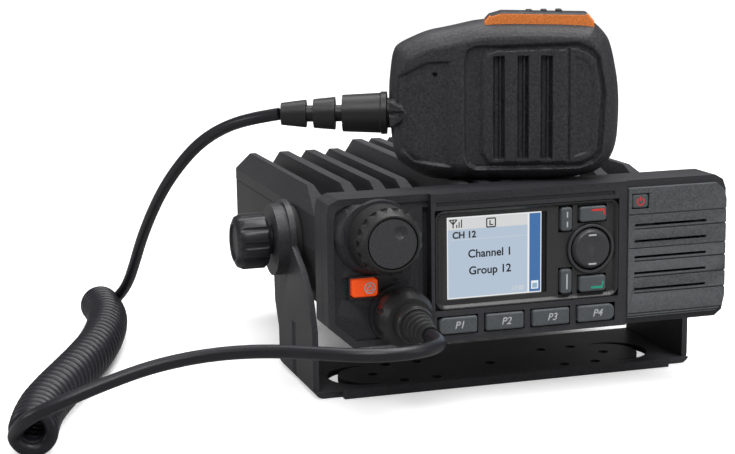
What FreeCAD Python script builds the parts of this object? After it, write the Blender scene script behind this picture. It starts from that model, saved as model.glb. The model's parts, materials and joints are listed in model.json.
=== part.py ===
"""Vehicle two-way radio in a tilting U bracket, with a palm microphone on a curly cord.

Row frame, in millimetres: +Z up, the front faces -Y, +X is to the right seen from the front.
The origin is the centre of the bracket's underside, so the bracket stands on z = 0.
"""
import FreeCAD
import Part
import math
import os
from FreeCAD import Placement, Rotation, Vector

doc = FreeCAD.newDocument("vehicle_radio")

# ---------------------------------------------------------------- driving dimensions
DIMENSIONS = {
    "head_width": 174,
    "head_height": 60,
    "head_front": -58,
    "head_bottom": 28,
    "bezel_depth": 10.5,
    "frame_depth": 10,
    "gasket_thick": 0.5,
    "wall": 3,
    "face_step": 2.5,
    "floor_step": 1,
    "panel_dish": 1.2,
    "chassis_width": 160,
    "chassis_back": 132,
    "chassis_bottom": 30,
    "rear_thick": 3,
    "fin_top": 83,
    "centre_fin_top": 88,
    "valley_top": 74,
    "sheet": 2.5,
    "bracket_width": 171,
    "base_front": -27,
    "base_back": 31,
    "lip_height": 3.7,
    "lip_reach": 4,
    "pivot_back": 22,
    "pivot_height": 59,
    "arm_head": 17,
    "arm_boss": 5,
    "screw_shank": 2.95,
    "screw_hole": 3.3,
    "grip_radius": 12,
    "grip_long": 16,
    "base_hole": 2.25,
    "knob_across": -66,
    "knob_up": 72.7,
    "knob_radius": 13.4,
    "knob_long": 16,
    "socket_across": -58,
    "socket_up": 40.5,
    "key_gap": 0.6,
    "softkey_wide": 16.3,
    "softkey_pitch": 20,
    "speaker_left": 40.2,
    "speaker_right": 84.6,
    "slot_high": 1.1,
    "slot_pitch": 6.7,
    "board_thick": 1.6,
    "cord_across": 5.2,
    "coil_across": 19,
    "palm_deep": 30,
    "palm_yaw": -20,
}

sheet = doc.addObject("Spreadsheet::Sheet", "D")
for row, (alias, value) in enumerate(DIMENSIONS.items(), 1):
    sheet.set(f"A{row}", str(value))
    sheet.setAlias(f"A{row}", alias)
doc.recompute()


def dim(alias):
    """The value of a cell of the sheet, in millimetres or degrees."""
    return float(sheet.get(alias))


# ---------------------------------------------------------------- building blocks
TURN = {
    "x": Rotation(Vector(0, 1, 0), 90),
    "-x": Rotation(Vector(0, 1, 0), -90),
    "y": Rotation(Vector(1, 0, 0), -90),
    "-y": Rotation(Vector(1, 0, 0), 90),
    "z": Rotation(),
    "-z": Rotation(Vector(1, 0, 0), 180),
}
NODES = {}


def bind(item, pairs):
    """Tie each property of an object to an expression over the sheet."""
    for prop, text in pairs.items():
        item.setExpression(prop, str(text))


def bind_place(item, at, turn="z"):
    """Set an object at a point given by three expressions, turned so that its own Z runs along an axis."""
    item.Placement = Placement(Vector(), TURN[turn])
    bind(item, dict(zip(("Placement.Base.x", "Placement.Base.y", "Placement.Base.z"), at)))


def box(name, x, y, z):
    """A box between two expressions on each axis."""
    item = doc.addObject("Part::Box", name)
    for prop, (low, high) in zip(("Length", "Width", "Height"), (x, y, z)):
        bind(item, {prop: f"({high}) - ({low})"})
    bind_place(item, (x[0], y[0], z[0]))
    return item


def rod(name, turn, at, length, radius):
    """A cylinder that starts at a point and runs along a row axis."""
    item = doc.addObject("Part::Cylinder", name)
    bind(item, {"Radius": radius, "Height": length})
    bind_place(item, at, turn)
    return item


def cone(name, turn, at, length, first, last):
    """A cone between two radii that starts at a point and runs along a row axis."""
    item = doc.addObject("Part::Cone", name)
    bind(item, {"Radius1": first, "Radius2": last, "Height": length})
    bind_place(item, at, turn)
    return item


def fuse(name, *items):
    """One solid from several that touch."""
    joined = doc.addObject("Part::MultiFuse", name)
    joined.Shapes = list(items)
    joined.Refine = True
    return joined


def cut(name, base, *tools):
    """The base less one or more tools."""
    result = doc.addObject("Part::Cut", name)
    result.Base = base
    result.Tool = tools[0] if len(tools) == 1 else fuse(name + "_tools", *tools)
    result.Refine = True
    return result


def common(name, base, tool):
    """What two solids share."""
    result = doc.addObject("Part::Common", name)
    result.Base = base
    result.Tool = tool
    return result


def group(name, *items):
    """Separate solids kept in one node."""
    pack = doc.addObject("Part::Compound", name)
    pack.Links = list(items)
    return pack


def soften(name, base, radius, pick):
    """Round the edges of a solid that the test picks."""
    doc.recompute()
    item = doc.addObject("Part::Fillet", name)
    item.Base = base
    item.Edges = [(n, radius, radius) for n, e in enumerate(base.Shape.Edges, 1) if pick(e)]
    return item


def bevel(name, base, size, pick):
    """Cut a flat at 45 degrees along the edges of a solid that the test picks."""
    doc.recompute()
    item = doc.addObject("Part::Chamfer", name)
    item.Base = base
    item.Edges = [(n, size, size) for n, e in enumerate(base.Shape.Edges, 1) if pick(e)]
    return item


def along(axis):
    """A test for straight edges that run along one axis."""
    unit = {"x": Vector(1, 0, 0), "y": Vector(0, 1, 0), "z": Vector(0, 0, 1)}[axis]

    def test(edge):
        if not isinstance(edge.Curve, Part.Line):
            return False
        return abs(abs(edge.Curve.Direction.dot(unit)) - 1) < 1e-6

    return test


def plane_of(body, role):
    """One of a body's own origin planes, found by its role."""
    return next(f for f in body.Origin.OriginFeatures if f.Role == role)


def draw(body, role, loops, offset):
    """A sketch of closed loops of points, on one of the body's own planes moved along its normal."""
    sketch = body.newObject("Sketcher::SketchObject", body.Name + "_sketch")
    sketch.AttachmentSupport = [(plane_of(body, role), "")]
    sketch.MapMode = "FlatFace"
    sketch.AttachmentOffset = Placement(Vector(0, 0, 0), Rotation())
    bind(sketch, {"AttachmentOffset.Base.z": offset})
    for loop in loops:
        ends = zip(loop, loop[1:] + loop[:1])
        for first, last in ends:
            sketch.addGeometry(Part.LineSegment(Vector(*first, 0), Vector(*last, 0)), False)
    return sketch


def prism(name, role, loops, offset, length):
    """A padded outline. XZ_Plane points to -Y, YZ_Plane to +X and XY_Plane to +Z."""
    body = doc.addObject("PartDesign::Body", name)
    sketch = draw(body, role, loops, offset)
    pad = body.newObject("PartDesign::Pad", name + "_pad")
    pad.Profile = sketch
    bind(pad, {"Length": length})
    sketch.Visibility = False
    return body


def turned(name, turn, at, profile):
    """A solid of revolution. The profile's points are (radius, distance along the axis)."""
    body = doc.addObject("PartDesign::Body", name)
    sketch = draw(body, "XZ_Plane", [profile], 0)
    spin = body.newObject("PartDesign::Revolution", name + "_spin")
    spin.Profile = sketch
    spin.ReferenceAxis = (sketch, ["V_Axis"])
    spin.Angle = 360
    sketch.Visibility = False
    bind_place(body, at, turn)
    return body


def keep(node, item):
    """Name the finished object of one sub-part."""
    item.Label = node
    NODES[node] = item
    return item


def mirrored_pair(points):
    """An outline on the right of x = 0, closed with its mirror image on the left."""
    return points + [(-x, y) for x, y in reversed(points)]


FRONT = "D.head_front"
HALF_HEAD = dim("head_width") / 2
HEAD_Z = dim("head_bottom")
SOFTKEY_LEFT = -42.1
SPEAKER_X = 62
STEP_X = -44.9
PANEL = (-43.1, 35.9, 12.9, 53)
ALARM = (-77.4, -66.8, 20.7, 27.7)
BEZEL_BACK = "D.head_front + D.bezel_depth"
FRAME_BACK = "D.head_front + D.bezel_depth + D.frame_depth"
CHASSIS_FRONT = FRAME_BACK + " + D.gasket_thick"


# ---------------------------------------------------------------- mounting bracket
def make_bracket():
    half = dim("bracket_width") / 2
    pivot_y = dim("pivot_back")
    pivot_z = dim("pivot_height")
    head = dim("arm_head")
    front = dim("base_front") + 2
    back = dim("base_back")
    outline = [(front, 0), (front, 28), (-20, 41), (-9, 51), (pivot_y - head + 0.5, pivot_z),
               (pivot_y + head - 0.5, pivot_z), (37, 29), (back, 18), (back, 0)]
    arms = prism("arm_outline", "YZ_Plane", [outline], "-D.bracket_width/2", "D.bracket_width")
    heads = rod("arm_heads", "x", ("-D.bracket_width/2", "D.pivot_back", "D.pivot_height"),
                "D.bracket_width", "D.arm_head")
    bosses = rod("arm_bosses", "x",
                 ("-D.bracket_width/2 - D.arm_boss", "D.pivot_back", "D.pivot_height"),
                 "D.bracket_width + 2*D.arm_boss", "D.arm_head - 1.5")
    base = box("base_plate", ("-D.bracket_width/2", "D.bracket_width/2"),
               ("D.base_front", "D.base_back"), (0, "D.sheet"))
    solid = fuse("bracket_solid", arms, heads, bosses, base)
    between = box("between_arms", ("-D.bracket_width/2 + D.sheet", "D.bracket_width/2 - D.sheet"),
                  (-60, 80), ("D.sheet", 120))
    bent = cut("bent_sheet", solid, between)
    corner = soften("rounded_bends", bent, 4,
                    lambda e: along("y")(e) and abs(abs(e.CenterOfMass.x) - half) < 0.1
                    and abs(e.CenterOfMass.z) < 0.1)
    lip = box("front_lip", (-73.7, 73.7), ("D.base_front - D.lip_reach", "D.base_front + 0.5"),
              (0, "D.lip_height"))
    tools = [rod("pivot_holes", "x", (-120, "D.pivot_back", "D.pivot_height"), 240, "D.screw_hole")]
    holes = [(0, -6), (54, -6), (-54, -6)]
    holes += [(x, y) for x in (-44, -29.5, 29.5, 44) for y in (-19.3, 7.3)]
    for n, (x, y) in enumerate(holes):
        tools.append(rod(f"base_hole_{n}", "z", (x, y, -1), "D.sheet + 2", "D.base_hole"))
    for n, side in enumerate((-1, 1)):
        island = rod(f"slot_island_{n}", "z", (side * 55, -6, -2), 8, 14)
        ring = rod(f"slot_round_{n}", "z", (side * 58.5, -6, -1), "D.sheet + 2", 15.2)
        tools.append(cut(f"crescent_{n}", ring, island))
        gusset = rod(f"gusset_{n}", "z", (side * (half + 3.2), 5, -1), 27, 4.4)
        tools.append(gusset)
    whole = fuse("bracket_with_lip", corner, lip)
    return keep("mounting_bracket", cut("mounting_bracket", whole, *tools))


# ---------------------------------------------------------------- tilt screws and washers
def grip_profile(radius, long):
    """Half section of the moulded grip, from its neck outwards."""
    return [(0, 0), (6.5, 0), (6.5, 2), (radius - 1.2, 2.2), (radius, 3.5), (radius, long - 3.5),
            (radius - 1, long - 1.2), (radius - 3.4, long), (radius - 4.2, long),
            (radius - 4.6, long - 0.8), (0, long - 0.8)]


def make_tilt_hardware():
    lobes = 11
    outer = "D.bracket_width/2 + D.arm_boss + 0.3"
    for side, sign, turn in (("left", "-", "-x"), ("right", "", "x")):
        face = f"{sign}({outer})"
        grip = turned(f"grip_{side}", turn, (face, "D.pivot_back", "D.pivot_height"),
                      grip_profile(dim("grip_radius"), dim("grip_long")))
        direction = -1 if side == "left" else 1
        start = direction * (dim("bracket_width") / 2 + dim("arm_boss") + 2)
        scallops = []
        for n in range(lobes):
            angle = 2 * math.pi * (n + 0.5) / lobes
            y = dim("pivot_back") + (dim("grip_radius") + 1.1) * math.cos(angle)
            z = dim("pivot_height") + (dim("grip_radius") + 1.1) * math.sin(angle)
            scallops.append(rod(f"scallop_{side}_{n}", turn, (start, y, z), 20, 1.9))
        fluted = cut(f"fluted_{side}", grip, *scallops)
        shank = rod(f"shank_{side}", "-x" if side == "right" else "x",
                    (f"{face}", "D.pivot_back", "D.pivot_height"), 18.5, "D.screw_shank")
        keep(f"thumbscrew_{side}", fuse(f"thumbscrew_{side}", fluted, shank))
        gap = f"{sign}(D.chassis_width/2)"
        disc = rod(f"washer_disc_{side}", turn, (gap, "D.pivot_back", "D.pivot_height"),
                   "D.bracket_width/2 - D.sheet - D.chassis_width/2 - 0.3", 14)
        hole = rod(f"washer_hole_{side}", turn, (gap, "D.pivot_back", "D.pivot_height"), 8, 3.2)
        keep(f"friction_washer_{side}", cut(f"friction_washer_{side}", disc, hole))


# ---------------------------------------------------------------- chassis
SIDE_FINS = [-58.5, -45.3, -33.4]
CENTRE_FINS = [-23.5, -14.1, -4.7, 4.7, 14.1, 23.5]


def fin_outline():
    """The top of the heat sink in XZ, from left to right: drafted fins over a flat web."""
    valley = dim("valley_top")
    half = dim("chassis_width") / 2
    fins = [(x, dim("fin_top")) for x in SIDE_FINS]
    fins += [(x, dim("centre_fin_top")) for x in CENTRE_FINS]
    fins += [(-x, dim("fin_top")) for x in reversed(SIDE_FINS)]
    rail = [(-half, 59), (-half, valley), (-half + 4.5, dim("fin_top")),
            (-72.6, dim("fin_top")), (-71, valley)]
    points = list(rail)
    for x, top in fins:
        points += [(x - 3.6, valley), (x - 2.3, top), (x + 2.3, top), (x + 3.6, valley)]
    points += [(-x, z) for x, z in reversed(rail)]
    return points


def make_chassis():
    outline = fin_outline()
    long = "D.chassis_back - (" + CHASSIS_FRONT + ")"
    cast = prism("finned_block", "XZ_Plane", [outline], "-D.chassis_back", long)
    inside = box("chassis_inside", ("-D.chassis_width/2 + D.wall + 1", "D.chassis_width/2 - D.wall - 1"),
                 (CHASSIS_FRONT + " + D.wall", "D.chassis_back + 1"), (50, 70))
    # The side wall's lower edge drops towards the front.
    below = [(27, 50), (27, 59), (59, 69), (140, 69), (140, 50)]
    step = prism("side_step", "YZ_Plane", [below], -90, 180)
    valley = dim("valley_top")
    top = dim("fin_top")
    slope = [(-45, valley), (-13, valley), (15, top), (15, 95), (-45, 95)]
    nose = prism("fin_noses", "YZ_Plane", [slope], -90, 180)
    nose_keep = box("centre_block", (-30, 30), (-60, 20), (60, 100))
    noses = cut("nose_wedge", nose, nose_keep)
    slope = [(112, 96), (112, top + 5), (133, valley), (140, valley), (140, 96)]
    tail = prism("fin_tails", "YZ_Plane", [slope], -90, 180)
    holes = rod("tilt_holes", "x", (-90, "D.pivot_back", "D.pivot_height"), 180, 3)
    lower_half = box("below_seam", (-100, 100), (-60, 160), (0, 59))
    finned = cut("finned_cast", cast, inside, step, noses, tail, lower_half)
    towers = []
    for n, (turn, side) in enumerate((("x", "-"), ("-x", ""))):
        towers.append(rod(f"tilt_tower_{n}", turn,
                          (f"{side}(D.chassis_width/2 - 1)", "D.pivot_back", "D.pivot_height"), 11, 7))
    solid = fuse("cast_with_towers", finned, *towers)
    keep("upper_chassis", cut("upper_chassis", solid, holes))


def make_lower_cover():
    half = dim("chassis_width") / 2
    low = dim("chassis_bottom")
    outline = mirrored_pair([(half, 69), (half, low + 12), (half - 9, low)])
    long = "D.chassis_back - (" + CHASSIS_FRONT + ")"
    tray = prism("tray_block", "XZ_Plane", [outline], "-D.chassis_back", long)
    inner = mirrored_pair([(half - 3, 71), (half - 3, low + 13.2), (half - 10.4, low + 2.5)])
    inside = prism("tray_inside", "XZ_Plane", [inner], "-D.chassis_back - 1", long + " - D.wall + 1")
    seam = [(-60, 59), (27, 59), (59, 69), (140, 69), (140, 80), (-60, 80)]
    above = prism("above_seam", "YZ_Plane", [seam], -90, 180)
    screw = rod("tilt_way", "x", (-90, "D.pivot_back", "D.pivot_height"), 180, 7.6)
    ribs = []
    for n in range(9):
        x = -48 + 12 * n
        ribs.append(box(f"floor_groove_{n}", (x, x + 4), (20, 118), (low - 1, low + 1)))
    keep("lower_cover", cut("lower_cover", tray, inside, above, screw, *ribs))


def make_rear():
    half = dim("chassis_width") / 2
    low = dim("chassis_bottom")
    outline = mirrored_pair([(half - 1, 72.5), (half - 1, low + 12), (half - 9.5, low + 0.5)])
    plate = prism("rear_plate", "XZ_Plane", [outline], "-D.chassis_back - D.rear_thick", "D.rear_thick")
    ways = [
        box("dc_way", (34, 58), (120, 140), (43, 57)),
        rod("antenna_way", "y", (-52, 120, 52), 20, 6.2),
        box("accessory_way", (-25, 19), (120, 140), (44, 56)),
    ]
    keep("rear_panel", cut("rear_panel", plate, *ways))
    inlet = box("dc_shell", (34.2, 57.8), (124, 146), (43.2, 56.8))
    socket = box("dc_mouth", (36.5, 55.5), (136, 150), (45.5, 54.5))
    blades = [box(f"dc_blade_{n}", (x, x + 3), (130, 143), (49, 51)) for n, x in enumerate((40, 49))]
    keep("dc_inlet", fuse("dc_inlet", cut("dc_hollow", inlet, socket), *blades))
    flange = box("antenna_flange", (-61, -43), (135, 137), (43, 61))
    barrel = rod("antenna_barrel", "y", (-52, 124, 52), 25, 4.75)
    bore = rod("antenna_bore", "y", (-52, 138, 52), 12, 3.4)
    pin = rod("antenna_pin", "y", (-52, 136, 52), 10, 0.7)
    tube_body = cut("antenna_tube", fuse("antenna_body", flange, barrel), bore)
    keep("antenna_socket", fuse("antenna_socket", tube_body, pin))
    shell = box("accessory_shell", (-24.8, 18.8), (126, 141), (44.2, 55.8))
    mouth = box("accessory_mouth", (-21, 15), (136, 145), (46.5, 53.5))
    tongue = box("accessory_tongue", (-18, 12), (130, 139), (49, 51))
    hollow = cut("accessory_hollow", shell, mouth)
    keep("accessory_socket", fuse("accessory_socket", hollow, tongue))
    screws = []
    for n, (x, z) in enumerate([(-72, 66), (72, 66), (-66, 38), (66, 38), (0, 66), (0, 37)]):
        screws.append(pan_screw(f"rear_screw_{n}", "y", (x, 135, z)))
    keep("rear_screws", group("rear_screws", *screws))
    screws = []
    for n, (x, y) in enumerate([(-60, -20), (60, -20), (-60, 110), (60, 110)]):
        screws.append(pan_screw(f"cover_screw_{n}", "-z", (x, y, low)))
    keep("cover_screws", group("cover_screws", *screws))


def pan_screw(name, turn, at):
    """The domed head of an M3 screw with a cross recess, standing on the face it clamps."""
    head = turned(name + "_head", turn, at, [(0, 0), (2.8, 0), (2.8, 0.9), (2, 1.6), (0, 1.8)])
    x, y, z = at
    size = 1.7
    if turn == "y":
        bars = [box(name + "_slot_a", (x - size, x + size), (y + 0.9, y + 3), (z - 0.35, z + 0.35)),
                box(name + "_slot_b", (x - 0.35, x + 0.35), (y + 0.9, y + 3), (z - size, z + size))]
    else:
        bars = [box(name + "_slot_a", (x - size, x + size), (y - 0.35, y + 0.35), (z - 3, z - 0.9)),
                box(name + "_slot_b", (x - 0.35, x + 0.35), (y - size, y + size), (z - 3, z - 0.9))]
    return cut(name, head, *bars)


# ---------------------------------------------------------------- control head
def head_outline(inset):
    """The head's outline in XZ, seen from the front: cut lower left corner, small other corners."""
    low = HEAD_Z + inset
    high = HEAD_Z + dim("head_height") - inset
    left = -HALF_HEAD + inset
    right = HALF_HEAD - 1.5 - inset
    cut_in = 0.45 * inset
    return [(left, low + 9 - cut_in), (left + 10 - cut_in, low), (right - 4, low),
            (right - 0.8, low + 2.5), (right, low + 6), (right, high - 6), (right - 1.5, high - 2),
            (right - 5, high), (left + 5, high), (left + 1, high - 2), (left, high - 6)]


def z_of(height):
    """A height above the head's underside, in the row frame."""
    return HEAD_Z + height


def make_head():
    """The bezel, the frame behind it and the gasket towards the chassis."""
    inner = head_outline(dim("wall"))
    full = head_outline(0)
    block = prism("bezel_block", "XZ_Plane", [full], "-(" + BEZEL_BACK + ")", "D.bezel_depth")
    hollow = prism("bezel_hollow", "XZ_Plane", [inner], "-(" + BEZEL_BACK + ") - 1",
                   "D.bezel_depth - 4 + 1")
    fill = box("knob_wall", (-87, -43.5), (FRONT + " + 4", FRONT + " + D.face_step + 4"), (28, 88))
    fill_shape = prism("fill_limit", "XZ_Plane", [inner], "-(" + BEZEL_BACK + ")", 12)
    shell = fuse("bezel_shell", cut("bezel_open", block, hollow), common("knob_wall_trim", fill, fill_shape))
    ahead = FRONT + " - 5"
    left_step = box("left_step", (-100, STEP_X), (ahead, FRONT + " + D.face_step"), (20, 100))
    floor_shape = prism("floor_outline", "XZ_Plane", [head_outline(2.8)],
                        "-(" + FRONT + ") - D.face_step - D.floor_step", 8)
    floor_limit = box("floor_limit", (-100, STEP_X), (ahead, FRONT + " + 6"), (20, 100))
    side_groove = box("side_groove", (STEP_X - 2.5, STEP_X), (ahead, FRONT + " + 5.4"), (z_of(5), z_of(54.6)))
    grille_seat = box("grille_seat", ("D.speaker_left - 0.3", 100), (ahead, FRONT + " + 2"), (20, 100))
    stepped = cut("bezel_stepped", shell, left_step, common("knob_floor", floor_shape, floor_limit),
                  side_groove, grille_seat)
    root = FRONT + " + D.face_step + D.floor_step + 0.5"
    skirt = cone("knob_skirt", "-y", ("D.knob_across - 2", root, "D.knob_up"), 3.4, 16.4, 13.8)
    skirt_limit = prism("skirt_limit", "XZ_Plane", [head_outline(2.4)], "-(" + root + ")", 8)
    flange = common("knob_flange", skirt, skirt_limit)
    pedestal = cone("knob_pedestal", "-y", ("D.knob_across", root, "D.knob_up"), 3.6, 15, 14.2)
    collar = rod("socket_collar", "-y", ("D.socket_across", root, "D.socket_up"), 3.2, 12.3)
    left, right, low, high = ALARM
    rim = box("alarm_rim", (left - 1.1, right + 1.1), (FRONT + " + D.face_step + 0.1", root),
              (z_of(low - 1.1), z_of(high + 1.1)))
    rim_round = soften("alarm_rim_rounded", rim, 1.6, along("y"))
    well = box("alarm_well", (left - 3.8, left), (ahead, root + " + 0.3"), (z_of(low - 1), z_of(high + 1)))
    well_round = soften("alarm_well_rounded", well, 1.6, along("y"))
    welled = cut("bezel_well", stepped, well_round)
    dressed = fuse("bezel_dressed", welled, flange, pedestal, collar, rim_round)
    through = (ahead, FRONT + " + 9")
    seat_left, seat_right, seat_low, seat_high = PANEL
    tools = [
        box("display_seat", (seat_left - 0.3, seat_right + 0.3), (ahead, FRONT + " + 2.6"),
            (z_of(seat_low - 0.3), z_of(seat_high + 0.3))),
        box("display_way", (-42, 34.5), (ahead, FRONT + " + 6"), (42.7, 80.2)),
        rod("encoder_way", "y", ("D.knob_across", ahead, "D.knob_up"), 15, 3.6),
        rod("socket_way", "y", ("D.socket_across", ahead, "D.socket_up"), 15, 8.6),
        rod("sound_way", "y", (SPEAKER_X, ahead, z_of(27)), 15, 17),
        box("emergency_way", (left - 0.4, right + 0.4), through, (z_of(low - 0.4), z_of(high + 0.4))),
        box("power_way", (41.5, 49.3), through, (z_of(48.2), z_of(54.8))),
        box("top_bar", (-42.8, 34.2), (ahead, FRONT + " + 0.5"), (z_of(54.9), z_of(56.6))),
    ]
    for n in range(4):
        left = SOFTKEY_LEFT + dim("softkey_pitch") * n
        span = (f"{left} - D.key_gap", f"{left} + D.softkey_wide + D.key_gap")
        tools.append(box(f"softkey_way_{n}", span, through, (z_of(2.5), z_of(10.3))))
    bezel = cut("control_head_bezel", dressed, *tools)
    keep("control_head_bezel", bezel)

    frame_block = prism("frame_block", "XZ_Plane", [full], "-(" + FRAME_BACK + ")", "D.frame_depth")
    frame_hole = prism("frame_hole", "XZ_Plane", [inner], "-(" + FRAME_BACK + ") - 1", 14)
    keep("head_rear_frame", cut("head_rear_frame", frame_block, frame_hole))
    seal = [(-74, 34), (74, 34), (74, 68), (-74, 68)]
    seal_hole = [(-71, 37), (71, 37), (71, 65), (-71, 65)]
    ring = prism("gasket_block", "XZ_Plane", [seal], "-(" + CHASSIS_FRONT + ")", "D.gasket_thick")
    hole = prism("gasket_hole", "XZ_Plane", [seal_hole], "-(" + CHASSIS_FRONT + ") - 1", 3)
    keep("head_gasket", cut("head_gasket", ring, hole))


def make_head_back():
    """The web that closes the head's rear frame and carries it on the chassis."""
    inner = head_outline(dim("wall") + 0.05)
    web = prism("web_block", "XZ_Plane", [inner], "-(" + FRAME_BACK + ")", 2)
    way = box("cable_way", (-30, 30), (-60, 0), (45, 60))
    keep("head_back_plate", cut("head_back_plate", web, way))


# ---------------------------------------------------------------- display and keys
KEYS = {
    "key_left_upper": (10.5, 15.5, 41.3, 51),
    "key_left_lower": (10.5, 15.5, 15.4, 25.5),
    "key_end_call": (18.8, 30.6, 44.5, 50.7),
    "key_call": (18.8, 30.6, 15.4, 22),
}
NAV_X = 23.9
NAV_Z = 33.3
LCD = (-37.8, 2.7, 16.7, 49.9)


def make_display():
    """The dished panel round the display and the keys, its window, its module and the four-way key's ring."""
    left, right, low, high = PANEL
    lip = 1.6
    plate = box("display_block", (left, right), (FRONT, FRONT + " + 2.6"), (z_of(low), z_of(high)))
    panel = soften("display_rounded", plate, 4, along("y"))
    dish = box("display_dish", (left + lip, right - lip), (FRONT + " - 1", FRONT + " + D.panel_dish"),
               (z_of(low + lip), z_of(high - lip)))
    dished = cut("display_dished", panel, soften("dish_rounded", dish, 2.4, along("y")))

    def on_rim(edge):
        span = edge.BoundBox
        flat = abs(span.YMin - dim("head_front")) < 1e-3 and abs(span.YMax - dim("head_front")) < 1e-3
        across = span.XMin > left + 1 and span.XMax < right - 1
        return flat and across and span.ZMin > z_of(low + 1) and span.ZMax < z_of(high - 1)

    sloped = bevel("display_sloped", dished, 1.15, on_rim)
    through = (FRONT + " - 1", FRONT + " + 4")
    lcd_left, lcd_right, lcd_low, lcd_high = LCD
    shade = 2.1
    tools = [box("lcd_way", (lcd_left - 0.1, lcd_right + shade + 0.1), through,
                 (z_of(lcd_low - 0.1), z_of(lcd_high + 0.1))),
             rod("nav_way", "y", (NAV_X, FRONT + " - 1", z_of(NAV_Z)), 5, 10.4)]
    for name, (left, right, low, high) in KEYS.items():
        tools.append(box(name + "_way", (f"{left} - D.key_gap", f"{right} + D.key_gap"), through,
                         (f"{z_of(low)} - D.key_gap", f"{z_of(high)} + D.key_gap")))
    keep("display_panel", cut("display_panel", sloped, *tools))
    keep("lcd_window", box("lcd_window", (lcd_left, lcd_right + shade), (FRONT + " + 1.6", FRONT + " + 2.5"),
                           (z_of(lcd_low), z_of(lcd_high))))
    keep("lcd_module", box("lcd_module", (lcd_left - 2.4, lcd_right + shade + 0.2),
                           (FRONT + " + 2.8", FRONT + " + 6"), (z_of(lcd_low + 0.4), z_of(lcd_high - 0.4))))
    ring = rod("nav_ring_disc", "y", (NAV_X, FRONT + " - 0.2", z_of(NAV_Z)), 2.6, 10.2)
    ring_hole = rod("nav_ring_hole", "y", (NAV_X, FRONT + " - 2", z_of(NAV_Z)), 9, 8.9)
    keep("nav_ring", cut("nav_ring", ring, ring_hole))


def key_cap(name, x, z, front, depth, left_radius, right_radius):
    """A key cap that stands a little ahead of the bezel's front: rounded corners and front edge."""
    block = box(name + "_block", x, (f"{FRONT} - {front}", f"{FRONT} - {front} + {depth}"), z)
    upright = along("y")
    doc.recompute()
    middle = block.Shape.BoundBox.Center.x
    left = soften(name + "_left", block, left_radius,
                  lambda e: upright(e) and e.CenterOfMass.x < middle)
    right = soften(name + "_right", left, right_radius,
                   lambda e: upright(e) and e.CenterOfMass.x > middle)
    face = dim("head_front") - front
    return soften(name, right, 0.8, lambda e: abs(e.CenterOfMass.y - face) < 1e-3)


def make_keys():
    small = 0.9
    large = 2.6
    for n in range(4):
        name = f"key_p{n + 1}"
        left = SOFTKEY_LEFT + dim("softkey_pitch") * n
        across = (left, f"{left} + D.softkey_wide")
        cap = key_cap(name, across, (z_of(3), z_of(9.8)), 1.1, 5.6,
                      large if n == 0 else small, large if n == 3 else small)
        keep(name, cap)
    for name, (left, right, low, high) in KEYS.items():
        keep(name, key_cap(name, (left, right), (z_of(low), z_of(high)), 0.3, 4.9, 1.2, 1.2))
    nav = turned("nav_cap", "y", (NAV_X, FRONT + " - 1.4", z_of(NAV_Z)),
                 [(0, 0.45), (4, 0.35), (6.9, 0), (7.5, 0.4), (8.3, 1.8), (8.3, 5.3), (0, 5.3)])
    keep("nav_rocker", nav)
    power = key_cap("power_button", (41.9, 48.9), (z_of(48.6), z_of(54.4)), 0.6, 6.4, 1.2, 1.2)
    keep("power_button", power)
    left, right, low, high = ALARM
    alarm = key_cap("emergency_button", (left, right), (z_of(low), z_of(high)), -1.3, 6, 1.3, 1.3)
    keep("emergency_button", alarm)


def make_head_inside():
    deep = (FRONT + " + 6.1", FRONT + " + 7.2")
    mat = box("mat_sheet", (6.5, 36), deep, (z_of(12.5), z_of(53.5)))
    low_mat = box("mat_strip", (-42.8, 36), deep, (z_of(3.2), z_of(12.5)))
    keep("keypad_mat", fuse("keypad_mat", mat, low_mat))
    deep = (FRONT + " + 7.5", FRONT + " + 7.5 + D.board_thick")
    keep("keypad_board", box("keypad_board", (-45, 38), deep, (z_of(3.5), z_of(54))))
    body = box("encoder_body", ("D.knob_across - 6.5", "D.knob_across + 6.5"),
               (FRONT + " + 7", FRONT + " + 14"), ("D.knob_up - 6.5", "D.knob_up + 6.5"))
    bush = rod("encoder_bush", "-y", ("D.knob_across", FRONT + " + 7.5", "D.knob_up"), 7.6, 3.4)
    keep("channel_encoder", fuse("channel_encoder", body, bush))
    basket = cone("speaker_basket", "y", (SPEAKER_X, FRONT + " + 6.5", z_of(27)), 7, 17.5, 9)
    magnet = rod("speaker_magnet", "y", (SPEAKER_X, FRONT + " + 13", z_of(27)), 4.5, 9)
    hollow = cone("speaker_hollow", "y", (SPEAKER_X, FRONT + " + 6", z_of(27)), 6, 16.2, 7)
    keep("speaker_driver", cut("speaker_driver", fuse("speaker_solid", basket, magnet), hollow))


def make_grille():
    high = dim("speaker_right")
    low = dim("speaker_left")
    outline = [(low, z_of(3)), (high - 3.8, z_of(3)), (high - 1, z_of(5.5)), (high, z_of(9)),
               (high, z_of(50)), (high - 1, z_of(54)), (high - 4.5, z_of(57)), (low, z_of(57))]
    plate = prism("grille_block", "XZ_Plane", [outline], "-(" + FRONT + ") - 1.9", 2.6)
    tools = [box("grille_power_way", (41.6, 49.2), (-70, -50), (z_of(48.3), z_of(54.7)))]
    for n in range(5):
        centre = z_of(14.8 + dim("slot_pitch") * n)
        tools.append(box(f"sound_slot_{n}", (43, 75.5), (-70, -50),
                         (f"{centre} - D.slot_high/2", f"{centre} + D.slot_high/2")))
        if n != 3:
            tools.append(box(f"edge_line_{n}", (43, 90), (-70, f"{FRONT} + 0.1"),
                             (centre - 1.9, centre - 1.3)))
    for n, height in enumerate((46, 32, 4.6, 3.5)):
        tools.append(box(f"step_line_{n}", (30, 90), (-70, f"{FRONT} - 0.1"),
                         (z_of(height - 0.3), z_of(height + 0.3))))
    keep("speaker_grille", cut("speaker_grille", plate, *tools))


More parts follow.
